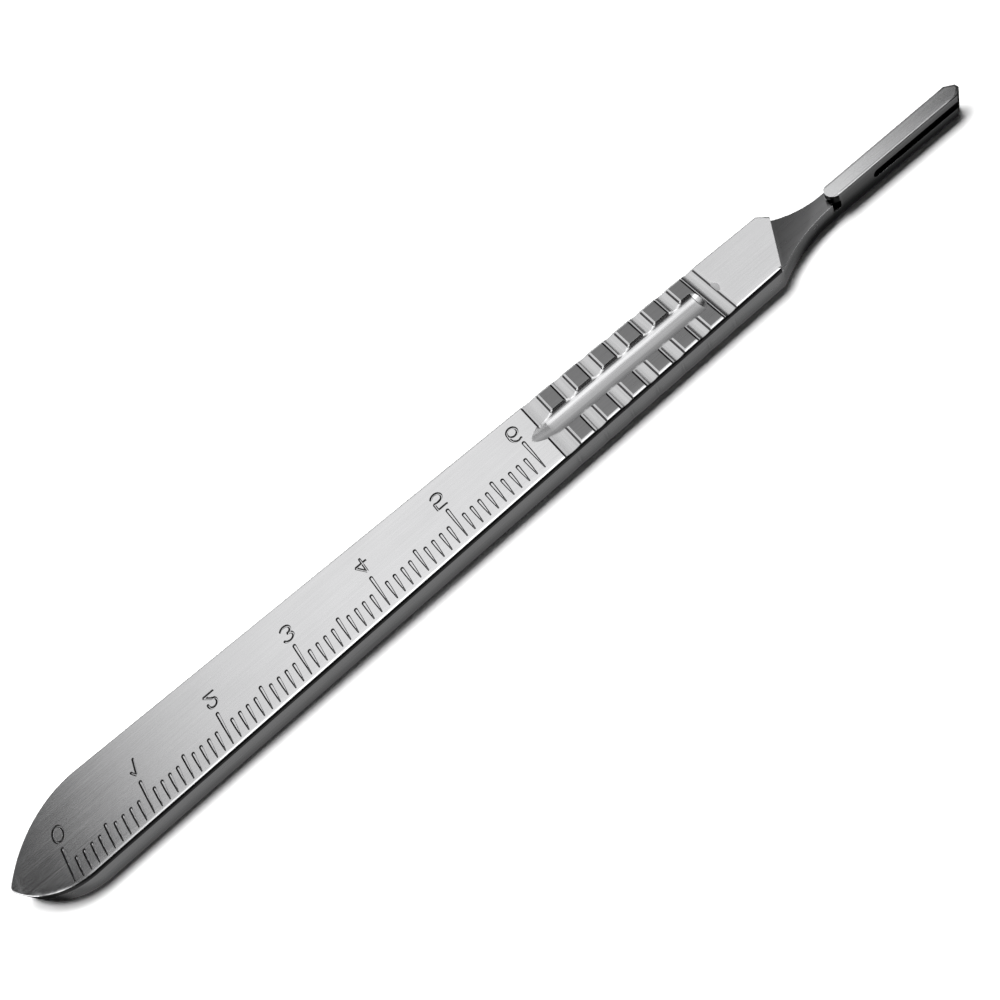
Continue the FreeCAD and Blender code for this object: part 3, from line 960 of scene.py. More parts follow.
class BarOutline:
    """The bar's outline in plan, clockwise from the near side of the nose.

    Its constants are the longest distances from one point to the next on each kind of stretch, the
    angle of the tail that the crown's lines cover, and the lines' distances from the near edge.
    """

    STRAIGHT = 1.0
    ALONG_LUG = 1.2
    NECK = 0.35
    TAIL = 0.3
    TIP = 0.1
    CROWN = 0.5
    CROWN_ANGLE = 0.62
    CROWN_POINTS = 40
    CROWN_LINES = (0.16, 0.22, 0.29, 0.5, 0.7)

    def __init__(self, bar: BarSizes, edges: EdgeSizes, stations: Sequence[float], split: float) -> None:
        """Lays out the points.

        Args:
            bar: The bar's sizes.
            edges: The sizes of the edge rounds.
            stations: Places along the grip at which both edges need a point.
            split: Where the body ends and the front begins.
        """
        self.bar = bar
        self.edges = edges
        self.stations = list(stations)
        self.split = split
        points = self.near_front() + self.near_body() + self.tail_end() + self.far_body() + self.far_front()
        kept = [p for i, p in enumerate(points) if math.dist(p, points[i - 1]) > TINY]
        self.points = np.array(kept)
        self.mitres = self.find_mitres()
        self.crown_insets = tuple(sorted(self.CROWN_LINES + (edges.crown_middle, edges.crown_width)))
        self.near_split = self.nearest(split, -bar.edge_at(split))
        self.far_split = self.nearest(split, bar.edge_at(split))

    def nearest(self, x: float, y: float) -> int:
        """The number of the outline's point that is nearest to a place."""
        return int(np.argmin(np.hypot(self.points[:, 0] - x, self.points[:, 1] - y)))

    @staticmethod
    def hollow(lug: Plan, other: Plan, side: float) -> Plan:
        """The centre of the neck's arc that leaves the lug along its side.

        Args:
            lug: Where the arc meets the lug.
            other: Its other end.
            side: 1 on the near side, -1 on the far one.

        Returns:
            The centre.
        """
        run = other[0] - lug[0]
        rise = (other[1] - lug[1]) * side
        return lug[0], lug[1] + side * (run * run + rise * rise) / (2 * rise)

    def near_front(self) -> List[Plan]:
        """The near side from the nose to the split.

        Returns:
            The points in order.
        """
        bar = self.bar
        middle = -bar.lug_offset
        shoulder = (bar.shoulder, -bar.shoulder_half_width)
        lug = (bar.lug_start, bar.lug_low)
        nose_corner = (bar.nose - bar.nose_length, bar.lug_low)
        points = line_between((bar.nose, middle - bar.nose_half_tip), nose_corner, self.STRAIGHT)
        points += line_between(nose_corner, lug, self.ALONG_LUG)
        points += arc_between(lug, shoulder, self.hollow(lug, shoulder, 1.0), Turn.LEFT, self.NECK)
        points += line_between(shoulder, (self.split, -bar.edge_at(self.split)), self.STRAIGHT)
        return points

    def near_body(self) -> List[Plan]:
        """The near side from the split to the tail's arc.

        Returns:
            The points in order.
        """
        bar = self.bar
        last = bar.tail + bar.tail_near_round
        points = [(x, -bar.edge_at(x)) for x in sorted(self.stations, reverse=True)]
        first = points[-1]
        return points + line_between(first, (last, -bar.edge_at(last)), self.STRAIGHT)

    def tail_end(self) -> List[Plan]:
        """The two arcs of the tail and the small round where they meet.

        Returns:
            The points in order.
        """
        bar = self.bar
        tip = np.array([bar.tail, -bar.tip_offset])
        near_x = bar.tail + bar.tail_near_round
        far_x = bar.tail + bar.tail_far_round
        near = np.array([near_x, -bar.edge_at(near_x)])
        far = np.array([far_x, bar.edge_at(far_x)])
        near_in = unit(np.array([-bar.taper, 1.0]))
        far_in = unit(np.array([-bar.taper, -1.0]))
        near_radius = float((tip - near) @ (tip - near) / (2 * near_in @ (tip - near)))
        far_radius = float((tip - far) @ (tip - far) / (2 * far_in @ (tip - far)))
        near_centre = near + near_in * near_radius
        self.near_arc = (near_centre, near_radius)
        far_centre = far + far_in * far_radius
        centre = self.meeting(near_centre, near_radius - bar.tip_round,
                              far_centre, far_radius - bar.tip_round, tip)
        near_touch = near_centre + unit(centre - near_centre) * near_radius
        far_touch = far_centre + unit(centre - far_centre) * far_radius
        points = arc_between(tuple(near), tuple(near_touch), tuple(near_centre), Turn.RIGHT, self.TAIL)
        points += arc_between(tuple(near_touch), tuple(far_touch), tuple(centre), Turn.RIGHT, self.TIP)
        points += arc_between(tuple(far_touch), tuple(far), tuple(far_centre), Turn.RIGHT, self.TAIL)
        return points

    @staticmethod
    def meeting(a: np.ndarray, ra: float, b: np.ndarray, rb: float, near: np.ndarray) -> np.ndarray:
        """Where two circles meet, on the side of a given point.

        Args:
            a: The first circle's centre.
            ra: Its radius.
            b: The second circle's centre.
            rb: Its radius.
            near: The point that chooses between the two meetings.

        Returns:
            The meeting that is nearer to it.
        """
        gap = float(np.linalg.norm(b - a))
        along = (ra * ra - rb * rb + gap * gap) / (2 * gap)
        away = math.sqrt(max(ra * ra - along * along, 0.0))
        ahead = (b - a) / gap
        across = np.array([-ahead[1], ahead[0]])
        found = [a + ahead * along + across * away, a + ahead * along - across * away]
        return min(found, key=lambda p: float(np.linalg.norm(p - near)))

    def far_body(self) -> List[Plan]:
        """The far side from the tail's arc to the split.

        Returns:
            The points in order.
        """
        bar = self.bar
        first = bar.tail + bar.tail_far_round
        stations = sorted(self.stations)
        points = [(x, bar.edge_at(x)) for x in stations]
        return line_between((first, bar.edge_at(first)), points[0], self.STRAIGHT) + points

    def far_front(self) -> List[Plan]:
        """The far side from the split round the cut corner and the neck to the nose.

        Returns:
            The points in order.
        """
        bar = self.bar
        corner = (bar.shoulder + bar.shoulder_slant, bar.shoulder_half_width - bar.corner_drop)
        cut = (corner[0] - bar.corner_cut, bar.edge_at(corner[0] - bar.corner_cut))
        lug = (bar.lug_start, bar.lug_high)
        nose_corner = (bar.nose - bar.nose_length, bar.lug_high)
        points = line_between((self.split, bar.edge_at(self.split)), cut, self.STRAIGHT)
        points += line_between(cut, corner, self.STRAIGHT)
        points += arc_between(corner, lug, self.hollow(lug, corner, -1.0), Turn.LEFT, self.NECK)
        points += line_between(lug, nose_corner, self.ALONG_LUG)
        tip = (bar.nose, -bar.lug_offset + bar.nose_half_tip)
        return points + line_between(nose_corner, tip, self.STRAIGHT)

    def find_mitres(self) -> np.ndarray:
        """The outward shift of each point that keeps its two edges parallel to themselves.

        Returns:
            The shift of each point for one millimetre outwards.
        """
        ahead = np.roll(self.points, -1, axis=0) - self.points
        ahead /= np.linalg.norm(ahead, axis=1)[:, None]
        out = np.stack([-ahead[:, 1], ahead[:, 0]], axis=1)
        before = np.roll(out, 1, axis=0)
        total = out + before
        return total / (1.0 + np.sum(out * before, axis=1))[:, None]

    def past_shoulder(self, places: np.ndarray) -> np.ndarray:
        """Whether each place lies in front of the shoulder's near end."""
        return places[:, 0] > self.bar.shoulder + self.edges.fitting_from

    def shares(self, places: np.ndarray) -> np.ndarray:
        """How much of the near edge's form each place has: all of it, none, or a blend.

        Args:
            places: An array of places, in plan.

        Returns:
            A share from 0 to 1 for each place.
        """
        bar, edges = self.bar, self.edges
        across = np.clip((-places[:, 1] - bar.tip_offset) / edges.blend_across, 0.0, 1.0)
        along = np.clip((places[:, 0] - bar.tail - edges.blend_from) / edges.blend_along, 0.0, 1.0)
        return np.where(self.past_shoulder(places), 0.0, across * along)

    def is_fitting(self, places: np.ndarray) -> np.ndarray:
        """Whether each point of the outline belongs to the neck or the lug."""
        inside = np.abs(places[:, 1]) < self.bar.shoulder_half_width - self.edges.fitting_inside
        return self.past_shoulder(places) & inside

    def levels(self, relief: GripRelief) -> np.ndarray:
        """The rows of corners from the upper face round the edge and the wall to the underside.

        Args:
            relief: The grip, whose flutes cut through the edges.

        Returns:
            An array of rows, of outline points, of coordinates.
        """
        edges = self.edges
        top = self.bar.thickness
        cut = relief.flute_depth(self.points[:, 0])
        share = self.shares(self.points)
        fitting = self.is_fitting(self.points)[:, None, None]
        plain = np.where(fitting, edges.fitting_profile(), edges.round_profile(edges.far))
        blend = share[:, None, None]
        forms = blend * edges.near_profile() + (1 - blend) * plain
        rim = share * (edges.crown_rim + edges.support) + (1 - share) * (forms[:, 0, 0] + edges.support)
        fall = self.crown_at(self.points - self.mitres * rim[:, None])
        rows = [self.row(rim, top - np.maximum(fall, cut))]
        for k in range(forms.shape[1]):
            rows.append(self.row(forms[:, k, 0], top - np.maximum(forms[:, k, 1], cut)))
        ones = np.ones(len(self.points))
        rows.append(self.row(ones * 0.0, top - np.maximum(edges.painted_shade_band, cut)))
        for inset, rise in edges.round_profile(edges.underside)[::-1]:
            rows.append(self.row(ones * inset, np.maximum(rise, cut)))
        rows.append(self.row(ones * (edges.underside + edges.support), cut))
        return np.array(rows)

    def crown_at(self, places: np.ndarray) -> np.ndarray:
        """How far the upper face has fallen at each place, next to the near edge.

        Args:
            places: An array of places, in plan.

        Returns:
            The fall at each place.
        """
        bar = self.bar
        x, y = places[:, 0], places[:, 1]
        slope = math.hypot(1.0, bar.taper)
        straight = (y + bar.edge_at(x)) / slope
        centre, radius = self.near_arc
        curved = radius - np.hypot(x - centre[0], y - centre[1])
        inset = np.where(x < bar.tail + bar.tail_near_round, curved, straight)
        return self.edges.crown(inset) * self.shares(places)

    def crown_lines(self, first: float, last: float) -> List[List[Plan]]:
        """Runs of points along the crown between two places, for the mesh to follow its bend.

        Args:
            first: Where along the handle the runs begin.
            last: Where they end.

        Returns:
            A run for each distance from the edge.
        """
        bar = self.bar
        joint = bar.tail + bar.tail_near_round
        centre, radius = self.near_arc
        turn = math.atan2(-bar.edge_at(joint) - centre[1], joint - centre[0])
        angles = np.linspace(turn - self.CROWN_ANGLE, turn, self.CROWN_POINTS)[:-1]
        straight = [float(x) for x in np.arange(max(first, joint), last, self.CROWN)] + [last]
        runs = []
        for inset in self.crown_insets:
            run = []
            if first < joint:
                run += [(centre[0] + (radius - inset) * math.cos(angle),
                         centre[1] + (radius - inset) * math.sin(angle)) for angle in angles]
            run += [(x, inset - bar.edge_at(x)) for x in straight]
            runs.append([p for p in run if p[1] < -bar.tip_offset])
        return runs

    def row(self, inset: np.ndarray, height: np.ndarray) -> np.ndarray:
        """One row of corners, moved inwards and set to a height."""
        plan = self.points - self.mitres * inset[:, None]
        return np.column_stack([plan, height])


class NodeBoard:
    """Adds the few kinds of node that the steel, the table and the room are made of."""

    def __init__(self, tree: bpy.types.NodeTree) -> None:
        """Keeps the tree that gets the nodes."""
        self.tree = tree

    def node(self, kind: str) -> bpy.types.Node:
        """Adds a node of a kind."""
        return self.tree.nodes.new("ShaderNode" + kind)

    def feed(self, target: bpy.types.NodeSocket, value: Source) -> None:
        """Links a socket to another one, or gives it a constant.

        Args:
            target: The socket.
            value: What it gets.
        """
        if isinstance(value, bpy.types.NodeSocket):
            self.tree.links.new(value, target)
        else:
            target.default_value = value

    def place(self, output: str) -> bpy.types.NodeSocket:
        """The place that is shaded, as one of the texture coordinates."""
        return self.node("TexCoord").outputs[output]

    def parts(self, vector: bpy.types.NodeSocket) -> bpy.types.NodeOutputs:
        """The X, Y and Z of a vector.

        Args:
            vector: The socket that gives the vector.

        Returns:
            The three sockets.
        """
        split = self.node("SeparateXYZ")
        self.feed(split.inputs["Vector"], vector)
        return split.outputs

    def calculated(self, operation: str, *values: Source) -> bpy.types.NodeSocket:
        """The result of a calculation with sockets and constants.

        Args:
            operation: The calculation's name.
            values: What it takes, in order.

        Returns:
            The socket that gives the result.
        """
        node = self.node("Math")
        node.operation = operation
        for target, value in zip(node.inputs, values):
            self.feed(target, value)
        return node.outputs[0]

    def mixed(self, kind: str, factor: Source, low: Source, high: Source) -> bpy.types.NodeSocket:
        """A blend of two values or colours.

        Args:
            kind: FLOAT or RGBA.
            factor: The share of the high value.
            low: The value at nought.
            high: The value at one.

        Returns:
            The socket that gives the blend.
        """
        node = self.node("Mix")
        node.data_type = kind
        for name, value in (("Factor", factor), ("A", low), ("B", high)):
            self.feed(node.inputs[name], value)
        return node.outputs["Result"]

    def ramp(self, source: bpy.types.NodeSocket, ends: Plan, results: Plan,
             form: str = "SMOOTHSTEP") -> bpy.types.NodeSocket:
        """A step from one value to another.

        Args:
            source: The value that drives the step.
            ends: Where the step begins and where it ends.
            results: The result before it and the result after it.
            form: How the step runs between its ends.

        Returns:
            The socket that gives the result.
        """
        node = self.node("MapRange")
        node.interpolation_type = form
        for name, value in zip(("From Min", "From Max", "To Min", "To Max"), ends + results):
            node.inputs[name].default_value = value
        self.feed(node.inputs["Value"], source)
        return node.outputs["Result"]

    def curve(self, source: bpy.types.NodeSocket, stops: Sequence[Plan]) -> bpy.types.NodeSocket:
        """A curve through stops, as a product of smooth steps from one to the next.

        Args:
            source: The value that runs along the curve.
            stops: The places and values that the curve passes.

        Returns:
            The socket that gives the curve's value.
        """
        result: Source = stops[0][1]
        for (start, low), (end, high) in zip(stops[:-1], stops[1:]):
            result = self.calculated("MULTIPLY", result, self.ramp(source, (start, end), (1.0, high / low)))
        return result


@dataclass(frozen=True)
class SteelFinish:
    """One finish of the stainless steel: its tone, its gloss and the lines that the tool left."""

    name: str
    tone: float
    roughness: float
    line_along: float = 0.09
    line_across: float = 4.6
    line_depth: float = 0.012
    tone_spread: float = 0.12
    roughness_spread: float = 0.05
    turned: bool = False
    cloud_along: float = 0.15
    cloud_across: float = 0.3
    line_share: float = 0.6
    noise_low: float = 0.3
    noise_high: float = 0.7
    cool: float = 1.01
    noise_detail: float = 4.0
    noise_roughness: float = 0.6

    def material(self) -> bpy.types.Material:
        """Builds the material from its nodes.

        Returns:
            The material.
        """
        material = bpy.data.materials.new(self.name)
        material.use_nodes = True
        board = NodeBoard(material.node_tree)
        inputs = material.node_tree.nodes["Principled BSDF"].inputs
        inputs["Metallic"].default_value = 1.0
        place = board.place("Object")
        lines = self.stretched(board, place, self.line_along, self.line_across)
        clouds = self.stretched(board, place, self.cloud_along, self.cloud_across)
        clouds = board.calculated("MULTIPLY", clouds, 1.0 - self.line_share)
        wear = board.calculated("MULTIPLY_ADD", lines, self.line_share, clouds)
        gloss = (self.roughness - self.roughness_spread, self.roughness + self.roughness_spread)
        board.feed(inputs["Roughness"], board.ramp(wear, (self.noise_low, self.noise_high), gloss, "LINEAR"))
        low = max(self.tone - self.tone_spread, 0.0)
        high = min(self.tone + self.tone_spread, 1.0)
        board.feed(inputs["Base Color"], board.mixed("RGBA", wear, (low, low, low * self.cool, 1.0),
                                                     (high, high, high * self.cool, 1.0)))
        bump = board.node("Bump")
        bump.inputs["Strength"].default_value = 1.0
        bump.inputs["Distance"].default_value = self.line_depth * MM
        board.feed(bump.inputs["Height"], lines)
        board.feed(inputs["Normal"], bump.outputs["Normal"])
        return material

    def stretched(self, board: NodeBoard, place: bpy.types.NodeSocket, along: float,
                  across: float) -> bpy.types.NodeSocket:
        """Noise drawn out along the tool's path.

        Args:
            board: The board that gets the nodes.
            place: Where on the object the noise is read.
            along: Waves for each millimetre along the tool's path.
            across: Waves for each millimetre across it.

        Returns:
            The socket that gives the noise.
        """
        mapping = board.node("Mapping")
        scale = (across, along, across) if self.turned else (along, across, across)
        mapping.inputs["Scale"].default_value = [s / MM for s in scale]
        noise = board.node("TexNoise")
        noise.inputs["Scale"].default_value = 1.0
        noise.inputs["Detail"].default_value = self.noise_detail
        noise.inputs["Roughness"].default_value = self.noise_roughness
        board.feed(mapping.inputs["Vector"], place)
        board.feed(noise.inputs["Vector"], mapping.outputs["Vector"])
        return noise.outputs["Fac"]


@dataclass(frozen=True)
class HandleFinishes:
    """The finish of each kind of surface on the handle."""

    finishes: Dict[Finish, SteelFinish] = field(default_factory=lambda: {
        Finish.FACE: SteelFinish("steel_brushed_face", 0.62, 0.17, tone_spread=0.1, roughness_spread=0.03),
        Finish.WALL: SteelFinish("steel_ground_wall", 0.5, 0.24),
        Finish.FLUTE: SteelFinish("steel_milled_flute", 0.52, 0.2, turned=True),
        Finish.GROOVE: SteelFinish("steel_milled_groove", 0.4, 0.2),
        Finish.PAD: SteelFinish("steel_dull_pad", 0.18, 0.3, tone_spread=0.05),
        # painted shade: dark steel on the walls of the engraved marks
        Finish.ENGRAVED_SHADE: SteelFinish("steel_engraved_painted_shade", 0.11, 0.3, tone_spread=0.04),
        Finish.SEAT: SteelFinish("steel_ground_seat", 0.16, 0.3, tone_spread=0.04),
        # painted shade: near-black steel for the near side's upper band, the flutes' steps and the walls of
        # the cuts
        Finish.EDGE: SteelFinish("steel_painted_shade", 0.06, 0.22, tone_spread=0.03),
    })

    def dress(self, piece: bpy.types.Object) -> None:
        """Gives a piece one material for each finish, in the order of their numbers."""
        for finish in Finish:
            piece.data.materials.append(self.finishes[finish].material())


class ScalpelHandle:
    """The whole handle: body with ruler and grip, neck, and the lug that takes a blade.

    Its constants are the grip's margins, how far the crown's guide lines stay clear of their ends, the
    places across the split, the least cuts that change a finish, how near two corners fall together or
    lie level, and the angle above which an edge is drawn sharp.
    """

    TAIL_MARGIN = 0.1
    FRONT_MARGIN = 0.3
    TO_SPLIT = 1.2
    CLEAR_OF_GRIP = (0.3, 0.2)
    CLEAR_OF_SPLIT = 0.1
    CLEAR_OF_SHOULDER = 0.25
    ACROSS_SPLIT = (1.6, 2.6, 3.6, 4.6, 5.6)
    CROWNED = 0.03
    FLUTED = 0.004
    GROOVED = 0.01
    JOINED = 0.004
    CUT_JOINED = 0.002
    LEVEL = 0.01
    SHARP = 32.0

    def __init__(self, bar: BarSizes) -> None:
        """Sets up the sizes and the outline that all parts of the surface share.

        Args:
            bar: The bar's sizes.
        """
        self.bar = bar
        self.edges = EdgeSizes()
        self.grip = GripSizes()
        self.fitting = FittingSizes()
        self.ruler = Ruler(RulerSizes(), bar)
        self.relief = GripRelief(self.grip)
        grip_to = self.relief.right + self.FRONT_MARGIN
        self.split = grip_to + self.TO_SPLIT
        self.stations = self.relief.stations(self.relief.left - self.TAIL_MARGIN, grip_to)
        self.outline = BarOutline(bar, self.edges, self.stations, self.split)
        self.levels = self.outline.levels(self.relief)

    def build(self) -> bpy.types.Object:
        """Makes the handle as one piece.

        Returns:
            The handle as an object.
        """
        body = self.body_shell().mesh("handle_body")
        front = self.front_mesh()
        joined = bmesh.new()
        joined.from_mesh(body)
        joined.from_mesh(front)
        bmesh.ops.remove_doubles(joined, verts=joined.verts, dist=self.JOINED * MM)
        bmesh.ops.recalc_face_normals(joined, faces=joined.faces)
        open_edges = sum(1 for edge in joined.edges if len(edge.link_faces) != 2)
        LOG.info("open or shared edges: %d", open_edges)
        mesh = bpy.data.meshes.new(PIECE)
        joined.to_mesh(mesh)
        joined.free()
        for polygon in mesh.polygons:
            polygon.use_smooth = True
        mesh.set_sharp_from_angle(angle=math.radians(self.SHARP))
        piece = bpy.data.objects.new(PIECE, mesh)
        bpy.context.collection.objects.link(piece)
        return piece

    def body_run(self) -> np.ndarray:
        """The numbers of the outline's points round the body, from split to split."""
        return np.arange(self.outline.near_split, self.outline.far_split + 1)

    def front_run(self) -> np.ndarray:
        """The numbers of the outline's points round the front, from split to split."""
        count = len(self.outline.points)
        return np.r_[np.arange(self.outline.far_split, count), np.arange(0, self.outline.near_split + 1)]

    def body_shell(self) -> Shell:
        """The body's surface, open where the front joins it.

        Returns:
            The surface.
        """
        shell = Shell()
        rows = self.levels[:, self.body_run()]
        shell.strips(rows, self.wall_finish)
        self.fill_face(shell, rows[0], True)
        self.fill_face(shell, rows[-1], False)
        return shell

    def fill_face(self, shell: Shell, rim: np.ndarray, is_top: bool) -> None:
        """Fills one face of the body inside its rim: tail and ruler, grip, and the part before the split.

        Args:
            shell: The surface that gets the faces.
            rim: The rim's corners, from the near split round the tail to the far split.
            is_top: Whether this is the upper face, which carries the ruler.
        """
        first, last = self.stations[0], self.stations[-1]
        xs = self.outline.points[self.body_run(), 0]
        ys = self.outline.points[self.body_run(), 1]
        on_grip = [i for i in np.argsort(xs, kind="stable") if first - TINY <= xs[i] <= last + TINY]
        near = [int(i) for i in on_grip if ys[i] < 0]
        far = [int(i) for i in on_grip if ys[i] > 0]
        level = self.bar.thickness if is_top else 0.0
        sign = -1.0 if is_top else 1.0
        columns = []
        for low, high in zip(near, far):
            start, end = rim[low], rim[high]
            places = np.array(self.relief.rows(float(xs[low]), start[1], end[1]))
            share = (places - start[1]) / (end[1] - start[1])
            across = start[0] + (end[0] - start[0]) * share
            depth = np.maximum(self.relief.flute_depth(across), self.relief.groove_depth(across, places))
            if is_top:
                depth = np.maximum(depth, self.outline.crown_at(np.column_stack([across, places])))
            column = np.column_stack([across, places, level + sign * depth])
            column[0] = start
            column[-1] = end
            columns.append(column)
        shell.strips(np.array(columns), self.grip_finish)
        tail_rim = [tuple(rim[i][:2]) for i in range(near[0], far[0] + 1)]
        tail_ring = tail_rim + [tuple(p[:2]) for p in columns[0][::-1][1:-1]]
        front_ring = [tuple(rim[i][:2]) for i in range(0, near[-1] + 1)]
        front_ring += [tuple(p[:2]) for p in columns[-1][1:-1]]
        front_ring += [tuple(rim[i][:2]) for i in range(far[-1], len(rim))]
        if is_top:
            front_ring += self.split_points()[::-1]
            inner, joins = self.ruler.guides()
            self.add_runs(inner, joins, self.outline.crown_lines(
                self.bar.tail, first - self.CLEAR_OF_GRIP[0]))
            shell.flat(tail_ring, self.engraved, self.ruler_finish, inner, joins)
            inner, joins = [], []
            self.add_runs(inner, joins, self.outline.crown_lines(
                last + self.CLEAR_OF_GRIP[1], self.split - self.CLEAR_OF_SPLIT))
            shell.flat(front_ring, self.crowned, all_alike(Finish.FACE), inner, joins)
        else:
            for ring in (tail_ring, front_ring):
                shell.flat(ring, level_at_nought, all_alike(Finish.FACE))

    def split_points(self) -> List[Plan]:
        """Points on the line between body and front, from the near edge on."""
        across = self.outline.crown_insets + self.ACROSS_SPLIT
        return [(self.split, inset - self.bar.edge_at(self.split)) for inset in across]

    @staticmethod
    def add_runs(points: List[Plan], joins: List[Tuple[int, int]], runs: Sequence[Sequence[Plan]]) -> None:
        """Adds runs of joined points to a set of guides.

        Args:
            points: The guides' points.
            joins: The joined pairs of them.
            runs: The runs to add.
        """
        for run in runs:
            base = len(points)
            points.extend(run)
            joins.extend((base + i, base + i + 1) for i in range(len(run) - 1))

    def crowned(self, places: np.ndarray) -> np.ndarray:
        """The height of the crowned upper face."""
        return self.bar.thickness - self.outline.crown_at(places)

    def engraved(self, places: np.ndarray) -> np.ndarray:
        """The height of the crowned upper face with the ruler cut into it."""
        return self.crowned(places) - self.ruler.depth(places)

    def wall_finish(self, middles: np.ndarray) -> np.ndarray:
        """The finish of the quads round the bar's edge, with painted shade on the upper band of the near
        side.

        Args:
            middles: The middles of the faces.

        Returns:
            The finish number of each face.
        """
        high = middles[:, 2] > self.bar.thickness - self.edges.painted_shade_band
        # painted shade along the top of the near side, where the steel mirrors the dark room
        eased = high & (self.outline.shares(middles) > 0.5)
        return np.where(eased, Finish.EDGE.value, Finish.WALL.value)

    def ruler_finish(self, middles: np.ndarray) -> np.ndarray:
        """The finish of the triangles on the ruler's face, with painted shade on the walls of the marks.

        Args:
            middles: The middles of the faces.

        Returns:
            The finish number of each face.
        """
        depth = self.crowned(middles) - middles[:, 2]
        sizes = self.ruler.sizes
        # the marks' walls get painted shade
        wall = (depth > sizes.wall_from) & (depth < sizes.depth * sizes.wall_until)
        return np.where(wall, Finish.ENGRAVED_SHADE.value, Finish.FACE.value)

    def grip_finish(self, middles: np.ndarray) -> np.ndarray:
        """The finish of the quads at places of the grip.

        Args:
            middles: The middles of the faces.

        Returns:
            The finish number of each face.
        """
        x, y = middles[:, 0], middles[:, 1]
        groove = self.relief.groove_depth(x, y)
        flute = self.relief.flute_depth(x)
        padded = (x > self.grip.first_pad) & (x < self.grip.end - self.grip.flute_half)
        plain = np.where(padded, Finish.PAD.value, Finish.FACE.value)
        eased = self.outline.crown_at(middles) > self.CROWNED
        fluted = np.where((flute > self.FLUTED) | (padded & eased), Finish.FLUTE.value, plain)
        # the steep steps of the flutes get painted shade
        fluted = np.where(self.relief.on_step(x), Finish.EDGE.value, fluted)
        return np.where((groove > flute) & (groove > self.GROOVED), Finish.GROOVE.value, fluted)

    def front_mesh(self) -> bpy.types.Mesh:
        """The front of the bar with the seat, the notch and the slots cut into it.

        Returns:
            The front's mesh, open at the split.
        """
        shell = Shell()
        rows = self.levels[:, self.front_run()]
        shell.strips(rows, self.wall_finish)
        inner: List[Plan] = []
        joins: List[Tuple[int, int]] = []
        self.add_runs(inner, joins, self.outline.crown_lines(
            self.split + self.CLEAR_OF_SPLIT, self.bar.shoulder - self.CLEAR_OF_SHOULDER))
        upper = [tuple(p[:2]) for p in rows[0]] + self.split_points()
        lower = [tuple(p[:2]) for p in rows[-1]]
        shell.flat(upper, self.crowned, all_alike(Finish.FACE), inner, joins)
        shell.flat(lower, level_at_nought, all_alike(Finish.FACE))
        between = np.array(self.split_points())
        between = np.column_stack([between, self.crowned(between)])
        end = [row[0] for row in rows] + [row[-1] for row in rows[::-1]]
        shell.face(end + list(between), Finish.WALL.value)
        solid = self.as_object(shell.mesh("handle_front"))
        for cutter in self.cutters():
            self.cut(solid, cutter)
        mesh = solid.data.copy()
        bpy.data.objects.remove(solid)
        return self.broken_edges(mesh)

    @staticmethod
    def as_object(mesh: bpy.types.Mesh) -> bpy.types.Object:
        """Puts a mesh into the scene as an object, its faces turned outwards.

        Args:
            mesh: The mesh.

        Returns:
            The object.
        """
        work = bmesh.new()
        work.from_mesh(mesh)
        bmesh.ops.recalc_face_normals(work, faces=work.faces)
        work.to_mesh(mesh)
        work.free()
        holder = bpy.data.objects.new(mesh.name, mesh)
        bpy.context.collection.objects.link(holder)
        return holder

    def cut(self, solid: bpy.types.Object, cutter: bpy.types.Object) -> None:
        """Takes the cutter's space out of the solid and removes the cutter.

        Args:
            solid: What is cut.
            cutter: What is taken out of it.
        """
        for piece in (solid, cutter):
            while len(piece.data.materials) < len(Finish):
                piece.data.materials.append(None)
        change = solid.modifiers.new("cut", "BOOLEAN")
        change.operation = "DIFFERENCE"
        change.solver = "EXACT"
        change.object = cutter
        bpy.context.view_layer.update()
        graph = bpy.context.evaluated_depsgraph_get()
        mesh = bpy.data.meshes.new_from_object(solid.evaluated_get(graph))
        solid.modifiers.clear()
        solid.data = mesh
        bpy.data.objects.remove(cutter)

    def prism(self, name: str, ring: Sequence[Plan], low: float, high: float, floor: Finish,
              on_side: bool = False) -> bpy.types.Object:
        """A straight-walled cutter.

        Args:
            name: The cutter's name.
            ring: Its outline, in plan or, on its side, along X and Z.
            low: Where it starts, in height or, on its side, along Y.
            high: Where it ends.
            floor: The finish that its ends leave; its walls get the near-black painted shade.
            on_side: Whether the outline is seen from the side.

        Returns:
            The cutter as an object.
        """
        shell = Shell()
        place = (lambda p, d: (p[0], d, p[1])) if on_side else (lambda p, d: (p[0], p[1], d))
        lower = [place(p, low) for p in ring]
        upper = [place(p, high) for p in ring]
        shell.face(lower, floor.value)
        shell.face(upper, floor.value)
        for j in range(len(ring)):
            after = (j + 1) % len(ring)
            # the cutter's walls leave painted shade
            shell.face([lower[j], lower[after], upper[after], upper[j]], Finish.EDGE.value)
        return self.as_object(shell.mesh(name))

